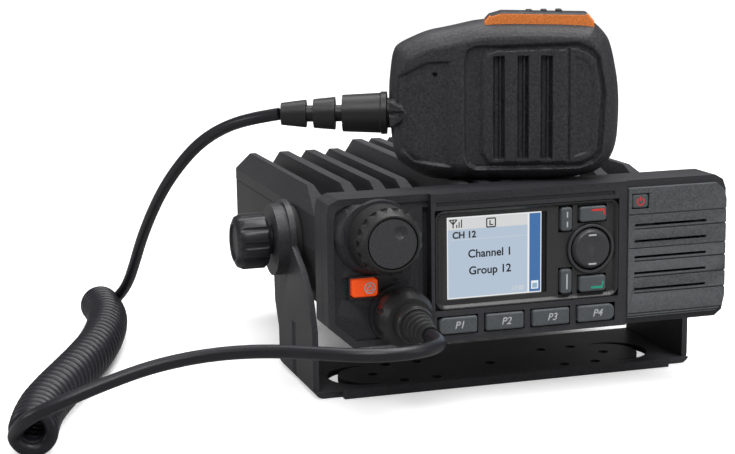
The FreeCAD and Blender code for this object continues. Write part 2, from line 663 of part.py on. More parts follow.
# ---------------------------------------------------------------- knob, socket and plug
def make_knob():
    big = dim("knob_radius")
    long = dim("knob_long")
    shoulder = long - 4.2
    profile = [(3.1, 0), (big - 0.4, 0), (big, 1.2), (big - 0.2, shoulder), (big - 0.7, shoulder + 0.5),
               (11.4, long - 0.6), (10.9, long), (10.2, long), (10.2, long - 1.6), (3.1, long - 1.6)]
    base = FRONT + " - 0.4"
    knob = turned("knob_turned", "-y", ("D.knob_across", base, "D.knob_up"), profile)
    notches = []
    count = 18
    notch_y = dim("head_front") - 0.4 - shoulder + 1.4
    for n in range(count):
        angle = 2 * math.pi * n / count
        x = dim("knob_across") + (big + 0.5) * math.cos(angle)
        z = dim("knob_up") + (big + 0.5) * math.sin(angle)
        notches.append(rod(f"knob_notch_{n}", "-y", (x, notch_y, z), 6, 1.7))
    keep("front_knob", cut("front_knob", knob, *notches))
    floor = FRONT + " - 0.4 - D.knob_long + "
    cap = rod("cap_disc", "-y", ("D.knob_across", floor + "1.6", "D.knob_up"), 1.4, 9.6)
    stub = rod("cap_stub", "y", ("D.knob_across", floor + "1.5", "D.knob_up"), 9, 3.05)
    spot_x = "D.knob_across + 3"
    spot_z = "D.knob_up + 3.9"
    ring = rod("dimple_ring", "-y", (spot_x, floor + "0.45", spot_z), 3, 2.9)
    dimple = doc.addObject("Part::Sphere", "finger_dimple")
    bind(dimple, {"Radius": 3.6})
    bind_place(dimple, (spot_x, floor + " - 2.3", spot_z))
    keep("knob_cap", cut("knob_cap", fuse("cap_with_stub", cap, stub), ring, dimple))


def make_plug():
    tube = rod("socket_tube", "y", ("D.socket_across", FRONT + " - 0.5", "D.socket_up"), 9, 8.5)
    tube_hole = rod("socket_hole", "y", ("D.socket_across", FRONT + " - 2", "D.socket_up"), 8.5, 6.9)
    keep("mic_socket", cut("mic_socket", tube, tube_hole))
    shell = turned("plug_shell", "-y", ("D.socket_across", FRONT + " + 6", "D.socket_up"),
                   [(0, 0), (6.6, 0), (6.6, 19.3), (7.6, 19.3), (7.6, 24), (6.9, 25.5), (0, 25.5)])
    keep("plug_shell", shell)
    nut = turned("plug_nut_turned", "-y", ("D.socket_across", FRONT + " - 0.9", "D.socket_up"),
                 [(6.9, 0), (11.2, 0), (11.6, 1), (11.6, 7), (10.6, 9), (9.4, 11.6), (6.9, 12)])
    flutes = []
    for n in range(8):
        angle = 2 * math.pi * (n + 0.5) / 8
        x = dim("socket_across") + 12.9 * math.cos(angle)
        z = dim("socket_up") + 12.9 * math.sin(angle)
        flutes.append(rod(f"nut_flute_{n}", "-y", (x, dim("head_front") - 3.5, z), 12, 2))
    keep("plug_nut", cut("plug_nut", nut, *flutes))
    profile = [(2.7, 0), (6.2, 0)]
    for n in range(4):
        start = 2.2 + 3.2 * n
        radius = 6.1 - 0.62 * n
        profile += [(radius, start), (radius - 1.1, start + 0.3), (radius - 1.1, start + 1.3),
                    (radius - 0.3, start + 1.6)]
    profile += [(3.6, 15.5), (2.7, 15.5)]
    boot = turned("plug_boot", "-y", ("D.socket_across", FRONT + " - 19.6", "D.socket_up"), profile)
    core = rod("plug_core", "-y", ("D.socket_across", FRONT + " - 19.6", "D.socket_up"), 15.2, 2.75)
    keep("plug_boot", fuse("plug_boot_whole", boot, core))


# ---------------------------------------------------------------- electronics in the chassis
def make_electronics():
    keep("main_board", box("main_board", (-70, 70), (-30, 118), (44, "44 + D.board_thick")))
    can = box("shield_can", (-60, 10), (0, 60), (45.8, 53))
    can_inside = box("shield_inside", (-59.4, 9.4), (0.6, 59.4), (45, 52.4))
    keep("rf_shield", cut("rf_shield", can, can_inside))
    keep("rf_power_module", box("rf_power_module", (20, 66), (70, 90), (58, 69.8)))


# ---------------------------------------------------------------- palm microphone
PALM_AT = Placement(Vector(-2.5, -43, 88), Rotation(Vector(0, 0, 1), dim("palm_yaw")))
PALM_OUTLINE = [(-52.4, 36), (-50.6, 52.5), (-48.4, 55.8), (-36.5, 61), (-28, 62.4), (-12.4, 65.8),
                (30, 64.6), (33.6, 61.8), (38, 56.2), (41.9, 35.6), (40.8, 10), (29.6, 0), (-29, 0),
                (-37.5, 1.2), (-48.5, 7.6), (-50.9, 13.8)]
PALM_MIDDLE = (-5, 32)
PALM_CORD_Z = 27.5


def palm_wire(inset, depth):
    """The microphone's outline drawn in by an inset, at a depth behind its face."""
    middle_x, middle_z = PALM_MIDDLE
    points = []
    for x, z in PALM_OUTLINE:
        scale_x = 1 - inset / 47
        scale_z = 1 - inset / 33
        points.append(Vector(middle_x + (x - middle_x) * scale_x, depth,
                             middle_z + (z - middle_z) * scale_z))
    return Part.makePolygon(points + points[:1])


def palm_loft(layers):
    """A solid through the microphone's outline at several depths, each with its inset."""
    return Part.makeLoft([palm_wire(inset, depth) for inset, depth in layers], True, True)


def feature(name, shape, place=None):
    """A document object for a shape made with Part's functions, set at its place."""
    item = doc.addObject("Part::Feature", name)
    if place is not None:
        shape = shape.copy()
        shape.Placement = place.multiply(shape.Placement)
    item.Shape = shape
    return item


def brick(x, y, z):
    """A plain box shape between two numbers on each axis."""
    return Part.makeBox(x[1] - x[0], y[1] - y[0], z[1] - z[0], Vector(x[0], y[0], z[0]))


def disc(at, length, radius, direction=Vector(0, 1, 0)):
    """A plain cylinder shape from a point along a direction."""
    return Part.makeCylinder(radius, length, Vector(*at), direction)


def make_microphone():
    split = 13.0
    back = dim("palm_deep")
    front = palm_loft([(6.5, 0), (4.2, 1.6), (1.2, 6), (0, 9.5), (0, split)])
    front = front.cut(palm_loft([(8.5, 3), (3.2, 8), (2.2, split + 1)]))
    front = front.cut(brick((-19, 32.5), (-1, 1.6), (8, 51.5)))
    for left in (-8.7, 0.6, 10.3):
        front = front.cut(brick((left, left + 3.7), (-1, 5), (10, 50)))
    front = front.cut(disc((-33, -1, 44), 6, 0.9))
    rear = palm_loft([(0, split + 0.05), (0, 18), (2.5, 25), (9, back)])
    rear = rear.cut(palm_loft([(2.2, split - 1), (2.4, 18), (5, 23.5), (10, back - 2.4)]))
    top_way = brick((-13.2, 31.2), (4.5, 22), (60, 72))
    front = front.cut(top_way)
    rear = rear.cut(top_way)
    boot_way = disc((-60, 13, PALM_CORD_Z), 12, 6.4, Vector(1, 0, 0))
    front = front.cut(boot_way)
    rear = rear.cut(boot_way)
    rear = rear.cut(disc((-2, back - 4, 38), 8, 4.2))
    feet = [(-38, 12), (-38, 52), (28, 12), (30, 52)]
    for x, z in feet:
        rear = rear.cut(disc((x, back - 5.3, z), 8, 2.6))
    keep("microphone_front_shell", feature("microphone_front_shell", front, PALM_AT))
    keep("microphone_rear_shell", feature("microphone_rear_shell", rear, PALM_AT))

    insert = brick((-18.7, 32.2), (0.2, 1.5), (8.3, 51.2))
    for left in (-8.7, 0.6, 10.3):
        insert = insert.cut(brick((left, left + 3.7), (-1, 5), (10, 50)))
    keep("microphone_grille", feature("microphone_grille", insert, PALM_AT))
    board = brick((-40, 30), (14, 15.4), (10, 56))
    keep("microphone_board", feature("microphone_board", board, PALM_AT))
    speaker = disc((3, 8, 30), 3, 17).fuse(disc((3, 11, 30), 2.6, 9))
    keep("microphone_speaker", feature("microphone_speaker", speaker, PALM_AT))
    keep("microphone_element", feature("microphone_element", disc((-33, 9, 44), 4.5, 3), PALM_AT))

    cap = [(-13, 61.4), (31, 61.4), (31, 64.6), (28.5, 67.6), (-6, 68.6), (-11, 67.2), (-13, 65)]
    wire = Part.makePolygon([Vector(x, 4.8, z) for x, z in cap + cap[:1]])
    ptt = Part.Face(wire).extrude(Vector(0, 16.8, 0))
    edges = [e for e in ptt.Edges if e.CenterOfMass.z > 64]
    ptt = ptt.makeFillet(1.2, edges)
    for left in (4, 10, 16):
        ptt = ptt.fuse(brick((left, left + 2.4), (9, 17), (66, 69)))
    keep("ptt_button", feature("ptt_button", ptt.removeSplitter(), PALM_AT))
    keep("ptt_switch", feature("ptt_switch", brick((2, 14), (14.0, 19), (56.2, 58.6)), PALM_AT))
    button = disc((-2, back - 3.9, 38), 6.4, 4.1).fuse(disc((-2, back + 1.5, 38), 2, 7))
    keep("hanger_button", feature("hanger_button", button, PALM_AT))
    screws = [disc((x, back - 5.2, z), 2.2, 2.5) for x, z in feet]
    keep("microphone_screws", feature("microphone_screws", Part.makeCompound(screws), PALM_AT))

    sections = [(-97, -86.5, 4.6, 5.8), (-83.5, -74.5, 6, 6.8), (-71.5, -55.6, 7.6, 8.3)]
    boot = disc((-97, 13, PALM_CORD_Z), 50, 3.4, Vector(1, 0, 0))
    for start, end, first, last in sections:
        boot = boot.fuse(Part.makeCone(first, last, end - start, Vector(start, 13, PALM_CORD_Z),
                                       Vector(1, 0, 0)))
    boot = boot.fuse(disc((-55.6, 13, PALM_CORD_Z), 2.6, 8.8, Vector(1, 0, 0)))
    boot = boot.fuse(disc((-53.4, 13, PALM_CORD_Z), 8, 6.2, Vector(1, 0, 0)))
    boot = boot.cut(brick((-49, -40), (0, 40), (0, 60)))
    keep("microphone_boot", feature("microphone_boot", boot.removeSplitter(), PALM_AT))


# ---------------------------------------------------------------- cord
# Hand-chosen points of the cord's centre line, from the plug's boot to the coil's front end,
# along the coil's axis, and from its back end up to the microphone's boot.
RADIO_LEAD = [(-58, -93.2, 40.5), (-58, -107, 41.5), (-65.4, -118.9, 42.3), (-78.4, -124.1, 42.7),
              (-93.1, -121, 42.6), (-106.3, -110.3, 42.2), (-122, -97, 41.4), (-141, -87, 39.4),
              (-161, -81, 35.4), (-179.5, -80, 30), (-196, -80, 24.5), (-208, -72, 17.5),
              (-210, -59, 11.5)]
COIL_AXIS = [(-205, -66, 9.8), (-201, -43, 9.8), (-191.5, -16, 9.8), (-177, 18, 9.8), (-162, 56, 9.8),
             (-152, 94, 9.8), (-148.5, 120, 9.8), (-149, 141, 9.8)]
MIC_LEAD = [(-140, 132, 9), (-137.4, 124.5, 21), (-135.4, 112, 34), (-134, 98, 48), (-131.5, 83, 62.5),
            (-128, 68, 76.5), (-123, 52.5, 89.5), (-116.5, 37.5, 101), (-108.5, 22.5, 109),
            (-99.2, 9.5, 113.6), (-89.9, 2.7, 115.5)]


def rounded_route(points, share=0.45):
    """Straight runs joined by tangent arcs, each as large as its two runs allow."""
    spots = [Vector(*p) for p in points]
    edges = []
    radii = []
    last = spots[0]
    for before, corner, after in zip(spots, spots[1:], spots[2:]):
        into = (corner - before).normalize()
        out = (after - corner).normalize()
        turn = into.getAngle(out)
        reach = share * min((corner - before).Length, (after - corner).Length)
        radius = reach / math.tan(turn / 2)
        radii.append(radius)
        first = corner - into * reach
        end = corner + out * reach
        to_centre = ((out - into).normalize()) * (radius / math.cos(turn / 2))
        middle = corner + to_centre - (to_centre / to_centre.Length) * radius
        edges.append(Part.LineSegment(last, first).toShape())
        edges.append(Part.Arc(first, middle, end).toShape())
        last = end
    edges.append(Part.LineSegment(last, spots[-1]).toShape())
    return Part.Wire(edges), radii


def tube(name, points, across):
    """A round tube along a rounded route, with its length, tightest bend and volume printed."""
    path, radii = rounded_route(points)
    start = Vector(*points[0])
    heading = Vector(*points[1]) - start
    circle = Part.Wire(Part.makeCircle(across / 2, start, heading))
    solid = path.makePipeShell([circle], True, True)
    expected = math.pi * across ** 2 / 4 * path.Length
    print(f"{name}: length {path.Length:.0f}, tightest radius {min(radii):.1f}, "
          f"volume ratio {solid.Volume / expected:.4f}")
    return keep(name, feature(name, solid))


def make_cord():
    tube("cord_radio_lead", RADIO_LEAD, dim("cord_across"))
    tube("cord_coil", COIL_AXIS, dim("coil_across"))
    tube("cord_mic_lead", MIC_LEAD, dim("cord_across"))


# ---------------------------------------------------------------- the whole model
def main():
    make_bracket()
    make_tilt_hardware()
    make_chassis()
    make_lower_cover()
    make_rear()
    make_head()
    make_head_back()
    make_display()
    make_keys()
    make_head_inside()
    make_grille()
    make_knob()
    make_plug()
    make_electronics()
    make_microphone()
    make_cord()
    doc.recompute()
    for item in doc.Objects:
        if "Invalid" in item.State or "Error" in item.State:
            raise RuntimeError(f"{item.Name}: {item.State}")
    os.makedirs("parts", exist_ok=True)
    for node, item in NODES.items():
        shape = item.Shape
        if shape.isNull() or not shape.isValid():
            raise RuntimeError(f"{node} has no valid shape")
        if not shape.Solids:
            raise RuntimeError(f"{node} holds no solid")
        shape.exportStep(f"parts/{node}.step")
        print(f"{node}: {len(shape.Solids)} solid(s), {shape.Volume / 1000:.2f} cm3")


main()
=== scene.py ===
import json
import math

import bmesh
import bpy
import numpy as np
from mathutils import Matrix, Vector

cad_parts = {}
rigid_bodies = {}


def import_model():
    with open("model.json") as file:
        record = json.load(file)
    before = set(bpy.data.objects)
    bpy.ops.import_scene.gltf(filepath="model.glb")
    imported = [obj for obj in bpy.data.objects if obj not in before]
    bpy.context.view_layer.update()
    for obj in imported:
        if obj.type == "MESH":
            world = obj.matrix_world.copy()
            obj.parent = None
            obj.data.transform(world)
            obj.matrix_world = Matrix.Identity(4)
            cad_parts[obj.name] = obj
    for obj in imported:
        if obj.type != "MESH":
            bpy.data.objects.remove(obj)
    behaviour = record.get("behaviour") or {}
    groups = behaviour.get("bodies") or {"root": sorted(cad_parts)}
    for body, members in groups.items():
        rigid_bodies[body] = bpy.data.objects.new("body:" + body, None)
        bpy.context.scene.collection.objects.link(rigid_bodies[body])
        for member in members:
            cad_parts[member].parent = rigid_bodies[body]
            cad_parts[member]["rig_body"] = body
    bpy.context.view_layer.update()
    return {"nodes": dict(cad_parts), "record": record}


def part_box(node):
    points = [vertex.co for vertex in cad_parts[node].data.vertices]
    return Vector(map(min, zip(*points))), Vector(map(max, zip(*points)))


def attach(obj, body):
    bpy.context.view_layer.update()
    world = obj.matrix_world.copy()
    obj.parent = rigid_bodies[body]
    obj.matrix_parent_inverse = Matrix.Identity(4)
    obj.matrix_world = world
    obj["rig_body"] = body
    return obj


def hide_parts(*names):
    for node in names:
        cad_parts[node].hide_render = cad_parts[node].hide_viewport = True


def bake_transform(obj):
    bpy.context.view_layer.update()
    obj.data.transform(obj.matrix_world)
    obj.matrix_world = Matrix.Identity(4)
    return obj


MM = 0.001

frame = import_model()
NODES = frame["nodes"]


# ---------------------------------------------------------------- camera
# The camera of the main view, in the row frame: metres and degrees.
CAMERA_AT = (-0.2656, -0.6905, 0.1997)
CAMERA_YAW = 16.62
CAMERA_PITCH = 11.86
CAMERA_ROLL = -1.02
CAMERA_LENS = 84.6
CAMERA_SENSOR = 36
CAMERA_SHIFT = (0.018, 0.0556)
CAMERA_NEAR = 0.01


def make_camera():
    data = bpy.data.cameras.new("camera")
    data.lens = CAMERA_LENS
    data.sensor_width = CAMERA_SENSOR
    data.shift_x, data.shift_y = CAMERA_SHIFT
    data.clip_start = CAMERA_NEAR
    camera = link_object("camera", data)
    turn = Matrix.Rotation(math.radians(-CAMERA_YAW), 4, "Z")
    tip = Matrix.Rotation(math.radians(90 - CAMERA_PITCH), 4, "X")
    roll = Matrix.Rotation(math.radians(CAMERA_ROLL), 4, "Z")
    camera.matrix_world = Matrix.Translation(CAMERA_AT) @ turn @ tip @ roll
    bpy.context.scene.camera = camera


# ---------------------------------------------------------------- materials
CLOUD_SCALE = 38
CLOUD_DETAIL = 4
GRAIN_DETAIL = 3
GRAIN_ROUGHNESS = 0.6
GRAIN_RANGE = (0.3, 0.7)
GRAIN_CONTRAST = (0.5, 1.5)
GRAIN_LEAST = 0.25
GRAIN_HEIGHT = 0.25
GLOSS_STRAY = 0.06
GLOSSIEST = 0.02
COAT_ROUGHNESS = 0.12
EDGE_RANGE = (0.53, 0.62)
EDGE_HIGHLIGHT_GAIN = 2.2
EDGE_HIGHLIGHT_LIFT = 0.02


def map_range(tree, value, start, end=(0, 1)):
    """A socket that carries one range of values over into another."""
    node = tree.nodes.new("ShaderNodeMapRange")
    for name, limit in zip(("From Min", "From Max", "To Min", "To Max"), (*start, *end)):
        node.inputs[name].default_value = limit
    tree.links.new(value, node.inputs["Value"])
    return node.outputs["Result"]


def free_name(name):
    """The frame brings plain materials by the names of the slots; they make way for the finishes."""
    plain = bpy.data.materials.get(name)
    if plain:
        plain.name = name + "_plain"


def material(name, colour, rough, metal=0.0, coat=0.0, grain=0.0, grain_size=0.6, cloud=0.1,
             painted_edge_highlight=0.0, specular=0.4, glow_and_painted_light=0.0):
    """A moulded, painted or metal surface: fine grain as bump, clouding in colour and gloss.

    grain is the bump's strength, grain_size its size in millimetres, cloud how far the colour
    strays either way, the edge setting how much every sharp edge is lightened as a painted
    highlight, and the glow setting how much light of its own colour the surface gives: on a part that is no
    lamp, painted light.
    """
    free_name(name)
    mat = bpy.data.materials.new(name)
    mat.use_nodes = True
    tree = mat.node_tree
    new = tree.nodes.new
    link = tree.links.new
    shader = tree.nodes["Principled BSDF"]
    shader.inputs["Metallic"].default_value = metal
    shader.inputs["Coat Weight"].default_value = coat
    shader.inputs["Coat Roughness"].default_value = COAT_ROUGHNESS
    shader.inputs["Specular IOR Level"].default_value = specular
    where = new("ShaderNodeTexCoord")

    broad = new("ShaderNodeTexNoise")
    broad.inputs["Scale"].default_value = CLOUD_SCALE
    broad.inputs["Detail"].default_value = CLOUD_DETAIL
    link(where.outputs["Object"], broad.inputs["Vector"])
    fine = new("ShaderNodeTexNoise")
    fine.inputs["Scale"].default_value = 1 / (grain_size * MM)
    fine.inputs["Detail"].default_value = GRAIN_DETAIL
    fine.inputs["Roughness"].default_value = GRAIN_ROUGHNESS
    link(where.outputs["Object"], fine.inputs["Vector"])

    tone = new("ShaderNodeMix")
    tone.data_type = "RGBA"
    tone.inputs["A"].default_value = (*[c * (1 - cloud) for c in colour], 1)
    tone.inputs["B"].default_value = (*[min(1, c * (1 + cloud)) for c in colour], 1)
    link(broad.outputs["Fac"], tone.inputs["Factor"])
    speck = new("ShaderNodeMix")
    speck.data_type = "RGBA"
    speck.blend_type = "MULTIPLY"
    speck.inputs["Factor"].default_value = min(1.0, GRAIN_LEAST + grain)
    link(tone.outputs["Result"], speck.inputs["A"])
    link(map_range(tree, fine.outputs["Fac"], GRAIN_RANGE, GRAIN_CONTRAST), speck.inputs["B"])
    colour_out = speck.outputs["Result"]
    # Painted highlight: every sharp edge, found by its pointiness, is lightened towards a paler colour.
    if painted_edge_highlight > 0:
        edge = new("ShaderNodeNewGeometry")
        painted_highlight_mix = new("ShaderNodeMix")
        painted_highlight_mix.data_type = "RGBA"
        painted_highlight_mix.inputs["B"].default_value = (*[min(1, c * EDGE_HIGHLIGHT_GAIN + EDGE_HIGHLIGHT_LIFT) for c in colour], 1)
        link(map_range(tree, edge.outputs["Pointiness"], EDGE_RANGE, (0, painted_edge_highlight)), painted_highlight_mix.inputs["Factor"])
        link(colour_out, painted_highlight_mix.inputs["A"])
        colour_out = painted_highlight_mix.outputs["Result"]
    link(colour_out, shader.inputs["Base Color"])

    stray = (max(GLOSSIEST, rough - GLOSS_STRAY), min(1.0, rough + GLOSS_STRAY))
    link(map_range(tree, broad.outputs["Fac"], (0, 1), stray), shader.inputs["Roughness"])

    if grain > 0:
        bump = new("ShaderNodeBump")
        bump.inputs["Strength"].default_value = grain
        bump.inputs["Distance"].default_value = GRAIN_HEIGHT * grain_size * MM
        link(fine.outputs["Fac"], bump.inputs["Height"])
        link(bump.outputs["Normal"], shader.inputs["Normal"])
    # Emission: the display's backlight, and painted light on parts that are no lamp.
    if glow_and_painted_light > 0:
        shader.inputs["Emission Color"].default_value = (*colour, 1)
        shader.inputs["Emission Strength"].default_value = glow_and_painted_light
    return mat


# The edge setting in these finishes lightens every sharp edge as a painted highlight.
FINISHES = {
    "bracket_black": dict(colour=(0.0441, 0.0441, 0.049), rough=0.4, grain=0.35, grain_size=0.9, painted_edge_highlight=0.3),
    "cast_black": dict(colour=(0.0392, 0.0392, 0.0431), rough=0.46, grain=0.6, grain_size=1.0, cloud=0.16,
                       painted_edge_highlight=0.35),
    "cover_black": dict(colour=(0.0314, 0.0314, 0.0314), rough=0.44, grain=0.35),
    "head_plastic": dict(colour=(0.0275, 0.0275, 0.0314), rough=0.43, grain=0.45, grain_size=0.8, painted_edge_highlight=0.25),
    "panel_plastic": dict(colour=(0.0235, 0.0235, 0.0235), rough=0.3, grain=0.15, coat=0.15, painted_edge_highlight=0.3),
    "lcd_glass": dict(colour=(0.6196, 0.6902, 0.7608), rough=0.25, cloud=0.03, glow_and_painted_light=0.35, coat=0.3),
    "lcd_body": dict(colour=(0.549, 0.6196, 0.698), rough=0.4),
    "key_slate": dict(colour=(0.1, 0.11, 0.117), rough=0.42, grain=0.2),
    "nav_plastic": dict(colour=(0.051, 0.051, 0.0549), rough=0.34, grain=0.15, coat=0.1),
    # Painted light: the emergency button is no lamp but glows, so that its orange looks brighter.
    "alarm_orange": dict(colour=(0.9, 0.09, 0.014), rough=0.4, cloud=0.05, specular=0.25, glow_and_painted_light=0.45),
    "grille_grey": dict(colour=(0.0918, 0.0969, 0.1019), rough=0.46, grain=0.5, grain_size=0.8, painted_edge_highlight=0.25),
    "knob_rubber": dict(colour=(0.0235, 0.0235, 0.0235), rough=0.48, grain=0.25),
    "knob_face": dict(colour=(0.051, 0.051, 0.0549), rough=0.4, grain=0.2),
    "grip_plastic": dict(colour=(0.0196, 0.0196, 0.0235), rough=0.32, grain=0.1, painted_edge_highlight=0.3),
    "plug_rubber": dict(colour=(0.0196, 0.0196, 0.0196), rough=0.4, grain=0.2),
    "cord_rubber": dict(colour=(0.0157, 0.0157, 0.0196), rough=0.36, grain=0.12, grain_size=1.2),
    "washer_rubber": dict(colour=(0.0314, 0.0314, 0.0314), rough=0.7),
    "gasket_rubber": dict(colour=(0.051, 0.051, 0.051), rough=0.7),
    "steel": dict(colour=(0.549, 0.5608, 0.5804), rough=0.32, metal=1.0, grain=0.1),
    "dark_steel": dict(colour=(0.0902, 0.0902, 0.102), rough=0.35, metal=1.0, grain=0.1),
    "plated_brass": dict(colour=(0.7216, 0.698, 0.6196), rough=0.24, metal=1.0, grain=0.05),
    "socket_plastic": dict(colour=(0.0314, 0.0314, 0.0314), rough=0.5, grain=0.2),
    "board_green": dict(colour=(0.0196, 0.1216, 0.051), rough=0.4, grain=0.2),
    "chip_black": dict(colour=(0.0196, 0.0196, 0.0196), rough=0.6, grain=0.2),
    "mic_plastic": dict(colour=(0.0353, 0.0353, 0.0392), rough=0.46, grain=0.8, grain_size=1.0, cloud=0.14,
                        painted_edge_highlight=0.25),
    "mic_mesh": dict(colour=(0.0314, 0.0314, 0.0353), rough=0.44, grain=0.6, grain_size=0.9),
    # Painted light: a faint glow on the orange push-to-talk band.
    "ptt_rubber": dict(colour=(0.78, 0.22, 0.045), rough=0.5, grain=0.4, glow_and_painted_light=0.03),
}


def finishes():
    """Every finish by the name of its slot in the record."""
    return {slot: material(slot, **look) for slot, look in FINISHES.items()}


SLOTS = {s["node"]: s["material_slot"] for s in frame["record"]["subparts"]}


def paint_nodes(paints):
    for name, item in NODES.items():
        item.data.materials.clear()
        item.data.materials.append(paints[SLOTS[name]])


# ---------------------------------------------------------------- mesh helpers
def link_object(name, data):
    item = bpy.data.objects.new(name, data)
    bpy.context.scene.collection.objects.link(item)
    return item


def dress(item, body, paint):
    """Give a new piece its finish and the body that it rides on."""
    item.data.materials.clear()
    item.data.materials.append(paint)
    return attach(item, body)


def smooth(item, degrees=35):
    for face in item.data.polygons:
        face.use_smooth = True
    item.data.set_sharp_from_angle(angle=math.radians(degrees))


# ---------------------------------------------------------------- cord
CORD = 5.2 * MM
COIL_RADIUS = 6.9 * MM
COIL_TURNS = 38
TURN_POINTS = 14
RADIO_LEAD = [(-58, -93.2, 40.5), (-58, -107, 41.5), (-65.4, -118.9, 42.3), (-78.4, -124.1, 42.7),
              (-93.1, -121, 42.6), (-106.3, -110.3, 42.2), (-122, -97, 41.4), (-141, -87, 39.4),
              (-161, -81, 35.4), (-179.5, -80, 30), (-196, -80, 24.5), (-208, -76, 18.5)]
COIL_AXIS = [(-205, -66, 9.8), (-201, -43, 9.8), (-191.5, -16, 9.8), (-177, 18, 9.8), (-162, 56, 9.8),
             (-152, 94, 9.8), (-148.5, 120, 9.8), (-149, 141, 9.8)]
MIC_LEAD = [(-137.4, 124.5, 21), (-135.4, 112, 34), (-134, 98, 48), (-131.5, 83, 62.5),
            (-128, 68, 76.5), (-123, 52.5, 89.5)]
MIC_END = [(-116.5, 37.5, 101), (-108.5, 22.5, 109), (-99.2, 9.5, 113.6), (-89.9, 2.7, 115.5)]


def in_metres(points):
    return [Vector(p) * MM for p in points]


def nurbs(name, points):
    """A smooth open curve with the points as its control points."""
    data = bpy.data.curves.new(name, "CURVE")
    data.dimensions = "3D"
    data.resolution_u = 5
    spline = data.splines.new("NURBS")
    spline.points.add(len(points) - 1)
    for spot, at in zip(spline.points, points):
        spot.co = (*at, 1)
    spline.order_u = 3
    spline.use_endpoint_u = True
    return link_object(name, data)


def line_of(points):
    """The points of a route's smooth line."""
    guide = nurbs("guide", points)
    bpy.context.view_layer.update()
    mesh = bpy.data.meshes.new_from_object(guide)
    line = [v.co.copy() for v in mesh.vertices]
    bpy.data.objects.remove(guide)
    return line


def helix(axis):
    """Control points of the coil's turns, from its front left round under and up its right side."""
    line = line_of(axis)
    lengths = [0.0]
    for first, last in zip(line, line[1:]):
        lengths.append(lengths[-1] + (last - first).length)
    count = int((COIL_TURNS + 0.5) * TURN_POINTS)
    points = []
    step = 0
    for n in range(count + 1):
        share = n / count
        goal = share * lengths[-1]
        while step < len(line) - 2 and lengths[step + 1] < goal:
            step += 1
        run = lengths[step + 1] - lengths[step]
        centre = line[step].lerp(line[step + 1], (goal - lengths[step]) / run)
        forward = (line[step + 1] - line[step]).normalized()
        side = forward.cross(Vector((0, 0, 1))).normalized()
        angle = math.pi + 2 * math.pi * (COIL_TURNS + 0.5) * share
        radius = COIL_RADIUS / math.cos(math.pi / TURN_POINTS)
        points.append(centre + radius * (math.cos(angle) * side + math.sin(angle) * Vector((0, 0, 1))))
    return points


def tube_mesh(name, line, radius, sides=14):
    """A round tube along a line of points, with flat ends."""
    mesh = bpy.data.meshes.new(name)
    work = bmesh.new()
    rings = []
    up = Vector((0, 0, 1))
    for n, at in enumerate(line):
        before = line[max(0, n - 1)]
        after = line[min(len(line) - 1, n + 1)]
        forward = (after - before).normalized()
        side = (up - forward * up.dot(forward)).normalized()
        up = side
        other = forward.cross(side)
        ring = []
        for k in range(sides):
            angle = 2 * math.pi * k / sides
            spot = at + radius * (math.cos(angle) * side + math.sin(angle) * other)
            ring.append(work.verts.new(spot))
        rings.append(ring)
    for first, last in zip(rings, rings[1:]):
        for k in range(sides):
            nxt = (k + 1) % sides
            work.faces.new((first[k], first[nxt], last[nxt], last[k]))
    work.faces.new(list(reversed(rings[0])))
    work.faces.new(rings[-1])
    bmesh.ops.recalc_face_normals(work, faces=work.faces)
    work.to_mesh(mesh)
    work.free()
    item = link_object(name, mesh)
    smooth(item, 60)
    return item


def make_cord(paints):
    """The curly cord from the plug to near the top of its upper lead, and the last stretch from there."""
    joint = (in_metres(MIC_LEAD)[-1] + in_metres(MIC_END)[0]) / 2
    route = in_metres(RADIO_LEAD) + helix(in_metres(COIL_AXIS)) + in_metres(MIC_LEAD) + [joint]
    line = line_of(route)
    main = tube_mesh("curly_cord", line, CORD / 2)
    main.data.materials.append(paints["cord_rubber"])
    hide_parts("cord_radio_lead", "cord_coil", "cord_mic_lead")
    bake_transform(main)

    end_line = line_of([joint] + in_metres(MIC_END))
    end = tube_mesh("cord_end", end_line, CORD / 2)
    end.data.materials.append(paints["cord_rubber"])
    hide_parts("cord_mic_lead")
    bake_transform(end)


# ---------------------------------------------------------------- rounded copies of hard pieces
SAME_SPOT = 0.005 * MM
SAME_PLANE = math.radians(1)


def crisp(node, width, segments=2, angle=30):
    """A copy of a CAD piece whose sharp edges are rounded off, as moulded and cast edges are."""
    source = NODES[node]
    mesh = source.data.copy()
    mesh.name = node + "_soft"
    work = bmesh.new()
    work.from_mesh(mesh)
    bmesh.ops.remove_doubles(work, verts=work.verts, dist=SAME_SPOT)
    bmesh.ops.dissolve_limit(work, angle_limit=SAME_PLANE, verts=work.verts, edges=work.edges)
    work.to_mesh(mesh)
    work.free()
    item = link_object(node + "_soft", mesh)
    smooth(item, angle)
    bevel = item.modifiers.new("edges", "BEVEL")
    bevel.width = width * MM
    bevel.segments = segments
    bevel.limit_method = "ANGLE"
    bevel.angle_limit = math.radians(angle)
    bevel.use_clamp_overlap = True
    bevel.harden_normals = True
    dress(item, source["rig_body"], source.data.materials[0])
    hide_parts(node)
    return item


SOFT_EDGES = {
    "mounting_bracket": 0.5, "upper_chassis": 0.5, "lower_cover": 0.6, "rear_panel": 0.4,
    "control_head_bezel": 0.45, "head_rear_frame": 0.5, "display_panel": 0.55, "speaker_grille": 0.3,
    "thumbscrew_left": 0.4, "thumbscrew_right": 0.4, "front_knob": 0.35, "knob_cap": 0.3,
    "nav_ring": 0.45, "nav_rocker": 0.25, "plug_nut": 0.3, "plug_shell": 0.25, "plug_boot": 0.25,
    "microphone_boot": 0.3, "dc_inlet": 0.3, "accessory_socket": 0.3, "antenna_socket": 0.15,
}


